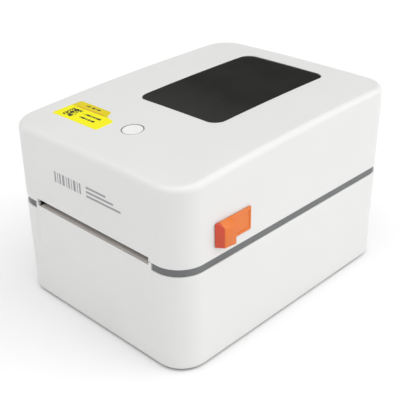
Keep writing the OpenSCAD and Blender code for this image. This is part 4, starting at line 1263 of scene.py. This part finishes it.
@dataclass
class Base:
    """The base housing, its front panel, cover, feet and chassis.

    The front panel's face starts `panel_lap_z` above its flange's foot, and `panel_gap` is the seam at each
    of its ends. `fan_slot_h` is the height of the fan-fold slot in the back.
    """

    case: Case
    foot_edge: float = 2.4
    top_edge: float = 0.35
    panel_gap: float = 0.06
    panel_lap_z: float = 4.0
    fan_slot_h: float = 2.5

    def housing(self) -> bpy.types.Object:
        """The wall as one closed band: up the outside from a rounded foot, over the rim and down inside.

        Its rim is lower behind the front panel and at the fan-fold slot in the back.

        Returns:
            The housing.
        """
        case = self.case
        flat_w = case.half_w - case.corner_r
        panel = (case.panel_half() + self.panel_gap) / flat_w
        slot = case.slot_half() / flat_w
        tiny = case.near / flat_w
        front = stops(31, panel - tiny, panel + tiny, -panel - tiny, -panel + tiny)
        back = stops(31, slot - tiny, slot + tiny, -slot - tiny, -slot + tiny)
        side, turn = stops(31), np.linspace(0, 1, 23)
        outer, normal = Outline(case.half_w, case.half_d, case.corner_r).walk(front, side, back, turn)
        high = np.full(len(outer), case.base_top)
        across = np.abs(outer[:, 0])
        seam, seam_edge = 0.03, 0.06
        sill = corner_of("front_panel")[0][2] + self.panel_lap_z - seam
        high[case.on_front(outer) & (across < panel * flat_w)] = sill
        high[case.on_back(outer) & (across < slot * flat_w)] = case.base_top - self.fan_slot_h
        low, foot = case.base_z, self.foot_edge
        edge = np.where(high < case.base_top - 5, seam_edge, self.top_edge)
        wall = case.wall
        layers = [(inset, low + rise) for inset, rise in quarter(foot, 8)]
        tall = high - edge - low - foot
        layers += [(0, low + foot + tall * share) for share in np.linspace(0, 1, 14)[1:-1]]
        layers += [(inset, high - drop) for drop, inset in quarter(edge, 5)]
        layers += [(wall - inset, high - drop) for drop, inset in quarter(edge, 5, back=True)]
        layers += [(wall, low + (high - edge - low) * share) for share in np.linspace(1, 0, 8)[1:]]
        rings = []
        for inset, height in layers:
            inward = np.broadcast_to(inset, len(outer))[:, None]
            rings.append(np.column_stack([outer - normal * inward, np.broadcast_to(height, len(outer))]))
        shell = Solid().rings(np.array(rings), loop=True).make("base_housing_skin", 40)
        return cut(shell, *self.cutters())

    def cutters(self) -> list[Solid]:
        """Cut-outs in the back for the sockets and the switch.

        Returns:
            The closed solids to cut out of the housing.
        """
        found = []
        y0, y1 = self.case.half_d - 6, self.case.half_d + 4
        for node, gap in (("data_socket", 0.2), ("power_jack", 0.2), ("switch_frame", -1.0)):
            low, high = corner_of(node)
            outline = box_outline((low[0] - gap, low[2] - gap), (high[0] + gap, high[2] + gap), 0.5)
            found.append(prism(outline, y0, y1, 0.01, Facing.BACK))
        low, high = corner_of("switch_frame")
        outline = box_outline((low[0] - 0.1, low[2] - 0.1), (high[0] + 0.1, high[2] + 0.1), 0.8)
        found.append(prism(outline, self.case.half_d - 1, y1, 0.01, Facing.BACK))
        return found

    def panel(self) -> bpy.types.Object:
        """The flush front panel: a U-shaped face with an ear at each end, and its wall and flange behind.

        Returns:
            The panel.
        """
        low, high = corner_of("front_panel")
        ears_low, ears_high = corner_of("front_ears")
        half, front, back = float(ears_high[0]), -self.case.half_d, float(ears_high[1])
        ear, seat, sill, top = half - self.case.ear_w, float(ears_low[2]), float(high[2]), float(ears_high[2])
        bottom = float(low[2]) + self.panel_lap_z
        foot, flange_top = bottom - 0.07, 69.2
        corners = [(-half, foot), (half, foot), (half, top), (ear, top), (ear, sill), (-ear, sill),
                   (-ear, top), (-half, top)]
        outline = soften_corners(corners, 0.45, 4)
        wall = box_outline((-half, bottom), (half, seat), 0.3)
        flange = box_outline((low[0], low[2]), (high[0], flange_top), 1.0)
        parts = [
            prism(outline, front, front + 0.8, 0.14, Facing.BACK),
            prism(wall, front + 0.7, back, 0.2, Facing.BACK),
            prism(flange, back - 0.1, back + 1.5, 0.3, Facing.BACK),
        ]
        for side in (-1, 1):
            u0, u1 = sorted((side * ear, side * half))
            post = box_outline((u0, seat - 1), (u1, top), 0.3)
            parts.append(prism(post, front + 0.7, back, 0.2, Facing.BACK))
        return Solid().merge(parts).make("front_panel_skin")

    def feet(self) -> bpy.types.Object:
        """Four round rubber feet with a rolled rim and a shallow hollow.

        Returns:
            The four feet as one piece.
        """
        low, high = corner_of("rubber_feet")
        radius, tall = 8.0, float(high[2])
        profile = [(0.1, 0.35), (5.4, 0.35), (5.8, 0.0), (7.3, 0.0), (7.8, 0.2), (radius, 0.6),
                   (radius, tall), (0.1, tall)]
        parts = [revolve(profile, (x, y, 0), steps=48) for x in (low[0] + radius, high[0] - radius)
                 for y in (low[1] + radius, high[1] - radius)]
        return Solid().merge(parts).make("rubber_feet_pads")

    def build(self) -> None:
        """Makes and dresses every piece of the base's outside."""
        dress(self.housing(), Coat.WHITE_ABS, "base", "white_abs", "base_housing")
        dress(self.panel(), Coat.WHITE_ABS, "base", "white_abs", "front_panel", "front_ears")
        dress(self.feet(), Coat.FOOT_RUBBER, "base", "rubber_foot", "rubber_feet")
        softened("bottom_cover", 0.3, Coat.DARK_ABS, "base", "dark_plastic")
        softened("chassis", 0.35, Coat.GREY_ABS, "base", "band_grey")


class Hand(Enum):
    """A side of the printer: the sign of X there, and its latch's node, body, spring and joint."""

    RIGHT = (1, "latch_right", "latch_r", "latch_spring_right", "latch_right_slide")
    LEFT = (-1, "latch_left", "latch_l", "latch_spring_left", "latch_left_slide")


@dataclass
class Latch:
    """One orange side latch: its outer plate is sunk a little inside a raised border.

    The plate stands `proud` of the case's side, and the border starts behind a finger `grip`. `travel` is not
    used.
    """

    hand: Hand
    edge: float = 0.5
    border: float = 1.8
    sink: float = 0.35
    plate_h: float = 17.0
    proud: float = 1.4
    grip: float = 16.4
    coil_r: float = 1.9
    wire_r: float = 0.3
    travel: float = 4.1

    def build(self) -> None:
        """Makes and dresses the latch; the left one is the right one's mirror image."""
        side, node, body, spring, joint = self.hand.value
        low, high = corner_of("latch_right")
        y0, y1, z1 = float(low[1]), float(high[1]), float(high[2])
        z0, face = z1 - self.plate_h, float(corner_of("base_housing")[1][0]) + self.proud
        slide = softened(node, self.edge, Coat.ORANGE_ABS, body, "latch_orange", 4)
        inset = box_outline((y0 + self.grip, z0 + self.border), (y1 - self.border, z1 - self.border), 0.6)
        u0, u1 = sorted((side * (face - self.sink), side * (face + 3)))
        cut(slide, prism(inset, u0, u1, 0.05, Facing.RIGHT))
        self.spring(spring, joint)

    def spring(self, node: str, joint: str) -> None:
        """Makes the spring of wire behind the slide.

        Args:
            node: the spring's CAD node.
            joint: not used.
        """
        low, high = corner_of(node)
        centre = ((low[0] + high[0]) / 2, (low[2] + high[2]) / 2, low[1])
        length = float(high[1] - low[1])
        wire = coil(centre, self.coil_r, self.wire_r, length, 7, Facing.BACK).make(node + "_wire")
        dress(wire, Coat.DRAWN_STEEL, "lid", "steel", node)
        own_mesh(wire)


# ---------------------------------------------------------------- the mechanism


@dataclass
class Mechanism:
    """Everything inside: the platen and its drive, the roll guides, the print head and the boards.

    `head_rise` is not used.
    """

    roller_edge: float = 0.8
    shaft_r: float = 3.0
    coil_r: float = 3.0
    wire_r: float = 0.4
    head_rise: float = 1.45

    def platen(self) -> None:
        """The rubber roller, its ends rounded, on a chamfered steel shaft with a ring groove."""
        low, high = corner_of("platen_roller")
        centre = ((low[1] + high[1]) / 2, (low[2] + high[2]) / 2, low[0])
        length, radius = float(high[0] - low[0]), float(high[2] - low[2]) / 2
        rise = quarter(self.roller_edge, 5)
        profile = [(self.shaft_r, 0.0), *[(radius - inset, step) for inset, step in rise],
                   *[(radius - inset, length - step) for inset, step in rise[::-1]], (self.shaft_r, length)]
        dress(revolve(profile, centre, Facing.RIGHT, 72).make("platen_rubber"), Coat.GROUND_RUBBER,
              "platen", "platen_rubber", "platen_roller")
        low, high = corner_of("platen_shaft")
        shaft_r, end, chamfer = self.shaft_r, float(high[0] - low[0]), 0.6
        groove_r = shaft_r - 0.5
        rod = [(shaft_r - chamfer, 0), (shaft_r, chamfer), (shaft_r, end - 3), (groove_r, end - 2.8),
               (groove_r, end - 2.2), (shaft_r, end - 2), (shaft_r, end - chamfer), (shaft_r - chamfer, end)]
        dress(revolve(rod, (centre[0], centre[1], low[0]), Facing.RIGHT, 48).make("platen_shaft_rod"),
              Coat.DRAWN_STEEL, "platen", "steel", "platen_shaft")

    def springs(self) -> None:
        """The two springs that press the print head down."""
        low, high = corner_of("head_springs")
        tall, reach = float(high[2] - low[2]), self.coil_r + self.wire_r
        parts = [coil((x, (low[1] + high[1]) / 2, low[2]), self.coil_r, self.wire_r, tall, 6, Facing.UP)
                 for x in (low[0] + reach, high[0] - reach)]
        wire = Solid().merge(parts).make("head_springs_wire")
        dress(wire, Coat.DRAWN_STEEL, "lid", "steel", "head_springs")
        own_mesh(wire)

    def build(self) -> None:
        """Dresses every inner piece."""
        self.platen()
        self.springs()
        soft = [
            ("guide_left", 0.4, Coat.DARK_ABS, "guide_l", "dark_plastic"),
            ("guide_right", 0.4, Coat.DARK_ABS, "guide_r", "dark_plastic"),
            ("guide_rail_cover", 0.3, Coat.GREY_ABS, "base", "band_grey"),
            ("guide_hub_left", 0.4, Coat.NYLON, "hub_l", "gear_nylon"),
            ("guide_hub_right", 0.4, Coat.NYLON, "hub_r", "gear_nylon"),
            ("paper_guide", 0.3, Coat.DARK_ABS, "base", "dark_plastic"),
            ("head_mount", 0.3, Coat.GREY_ABS, "lid", "band_grey"),
            ("head_bracket", 0.3, Coat.ALUMINIUM, "print_head", "head_aluminium"),
            ("gear_plate", 0.15, Coat.DRAWN_STEEL, "base", "steel"),
            ("switch_frame", 0.3, Coat.DARK_ABS, "base", "dark_plastic"),
            ("power_rocker", 0.4, Coat.DARK_ABS, "rocker", "dark_plastic"),
            ("power_jack", 0.25, Coat.DARK_ABS, "base", "dark_plastic"),
            ("data_socket", 0.2, Coat.TINPLATE, "base", "steel"),
            ("label_sensor", 0.2, Coat.DARK_ABS, "base", "dark_plastic"),
            ("stepper_motor", 0.5, Coat.TINPLATE, "base", "steel"),
        ]
        for row in soft:
            softened(*row)
        kept = {
            Coat.TEAR_STEEL: ("tear_bar",),
            Coat.DRAWN_STEEL: ("catch_leaves", "hinge_pins", "idler_stud", "motor_shaft", "head_pivot"),
            Coat.NYLON: ("platen_gear", "idler_gear", "guide_pinion", "platen_bushings"),
            Coat.BRASS: ("motor_pinion",),
            Coat.ZINC: ("case_screws", "lid_screws"),
            Coat.BOARD: ("main_board", "button_board"),
            Coat.CERAMIC: ("head_strip",),
        }
        for coat, nodes in kept.items():
            for node in nodes:
                paint_node(node, coat)


# ---------------------------------------------------------------- the studio


@dataclass
class Studio:
    """Camera, floor and lights: degrees and millimetres.

    The sky is as bright as `sky` overhead and `horizon` low down. Around `flag` it falls to `flag_share` of
    that, as behind a black card.
    """

    azimuth: float = 44.28
    elevation: float = 28.12
    roll: float = -0.8
    distance: float = 623.88
    focal: float = 796.58
    frame_width: float = 400.0
    aim: tuple[float, float, float] = (-7.26, 0.26, 55.35)
    sky: float = 0.5
    horizon: float = 0.95
    flag: tuple[float, float, float] = (-0.62, 0.63, 0.47)
    flag_share: float = 0.12

    def camera(self) -> None:
        """Makes the camera, which looks at the aim point from its azimuth and elevation, rolled a little."""
        az, el, roll = map(math.radians, (self.azimuth, self.elevation, self.roll))
        back = np.array([math.sin(az) * math.cos(el), -math.cos(az) * math.cos(el), math.sin(el)])
        right = np.array([math.cos(az), math.sin(az), 0.0])
        up = np.cross(back, right)
        right, up = right * math.cos(roll) + up * math.sin(roll), up * math.cos(roll) - right * math.sin(roll)
        data = bpy.data.cameras.new("studio_camera")
        data.sensor_width = 36.0
        data.lens = self.focal / self.frame_width * data.sensor_width
        data.clip_start, data.clip_end = 0.01, 50
        camera = bpy.data.objects.new("studio_camera", data)
        bpy.context.scene.collection.objects.link(camera)
        matrix = np.eye(4)
        matrix[:3, 0], matrix[:3, 1], matrix[:3, 2] = right, up, back
        matrix[:3, 3] = (np.array(self.aim) + back * self.distance) * MM
        camera.matrix_world = Matrix(matrix.tolist())
        bpy.context.scene.camera = camera

    def floor(self) -> None:
        """A plain pale floor that runs out to where the eye can't follow."""
        half = 12000.0
        points = np.array([[-half, -half, 0], [half, -half, 0], [half, half, 0], [-half, half, 0]])
        floor = make_object("studio_floor", points, [[0, 1, 2, 3]])
        floor.data.materials.append(Finish("Floor_paper", "F4F4F4", "F3F3F3", 0.9, 0.02, grain_mm=2.0,
                                           relief_mm=0.005, drift_mm=400.0, specular=0.1).build())

    def sun(self, name: str, towards: tuple[float, float, float], strength: float, spread: float) -> None:
        """A soft, even light that comes from a direction.

        Args:
            name: the light's name.
            towards: from the printer to the light.
            strength: its power.
            spread: how many degrees of the sky it fills.
        """
        data = bpy.data.lights.new(name, "SUN")
        data.energy, data.angle = strength, math.radians(spread)
        lamp = bpy.data.objects.new(name, data)
        bpy.context.scene.collection.objects.link(lamp)
        back = np.array(towards) / np.linalg.norm(towards)
        right = np.cross([0.0, 1.0, 0.01], back)
        right /= np.linalg.norm(right)
        matrix = np.eye(4)
        matrix[:3, 0], matrix[:3, 1], matrix[:3, 2] = right, np.cross(back, right), back
        lamp.matrix_world = Matrix(matrix.tolist())

    def build(self) -> None:
        """Makes the camera, floor, sky and lights."""
        self.camera()
        self.floor()
        world = bpy.data.worlds.new("studio_sky")
        world.use_nodes = True
        sky, tree = world.node_tree.nodes["Background"], world.node_tree
        sky.inputs["Color"].default_value = (1.0, 1.0, 1.0, 1.0)
        towards = add_node(tree, "TexCoord").outputs["Object"]
        dot = add_node(tree, "VectorMath", {"operation": "DOT_PRODUCT", 1: self.flag}, {0: towards})
        dim = self.sky * self.flag_share
        upper = ramp(tree, dot.outputs["Value"], 0.55, 0.93, self.sky - self.horizon, dim - self.horizon)
        height = ramp(tree, add_node(tree, "SeparateXYZ", None, {0: towards}).outputs[2], 0.05, 0.25, 0, 1)
        mixed = add_node(tree, "Math", {"operation": "MULTIPLY_ADD", 2: self.horizon}, {0: height, 1: upper})
        tree.links.new(mixed.outputs[0], sky.inputs["Strength"])
        bpy.context.scene.world = world
        self.sun("overhead", (0.1, 0.0, 1.0), 2.1, 90)
        self.sun("right_fill", (0.74, 0.64, 0.2), 0.98, 60)
        self.sun("front_fill", (-0.65, -0.75, 0.15), 0.1, 50)
        bpy.context.scene.view_settings.view_transform = "Standard"


def main() -> None:
    """Builds the studio and the printer."""
    logging.basicConfig(level=logging.INFO, format="%(message)s")
    Studio().build()
    case = Case()
    Lid(case).build()
    Button(case).build()
    Base(case).build()
    for hand in Hand:
        Latch(hand).build()
    Mechanism().build()


if __name__ == "__main__":
    main()
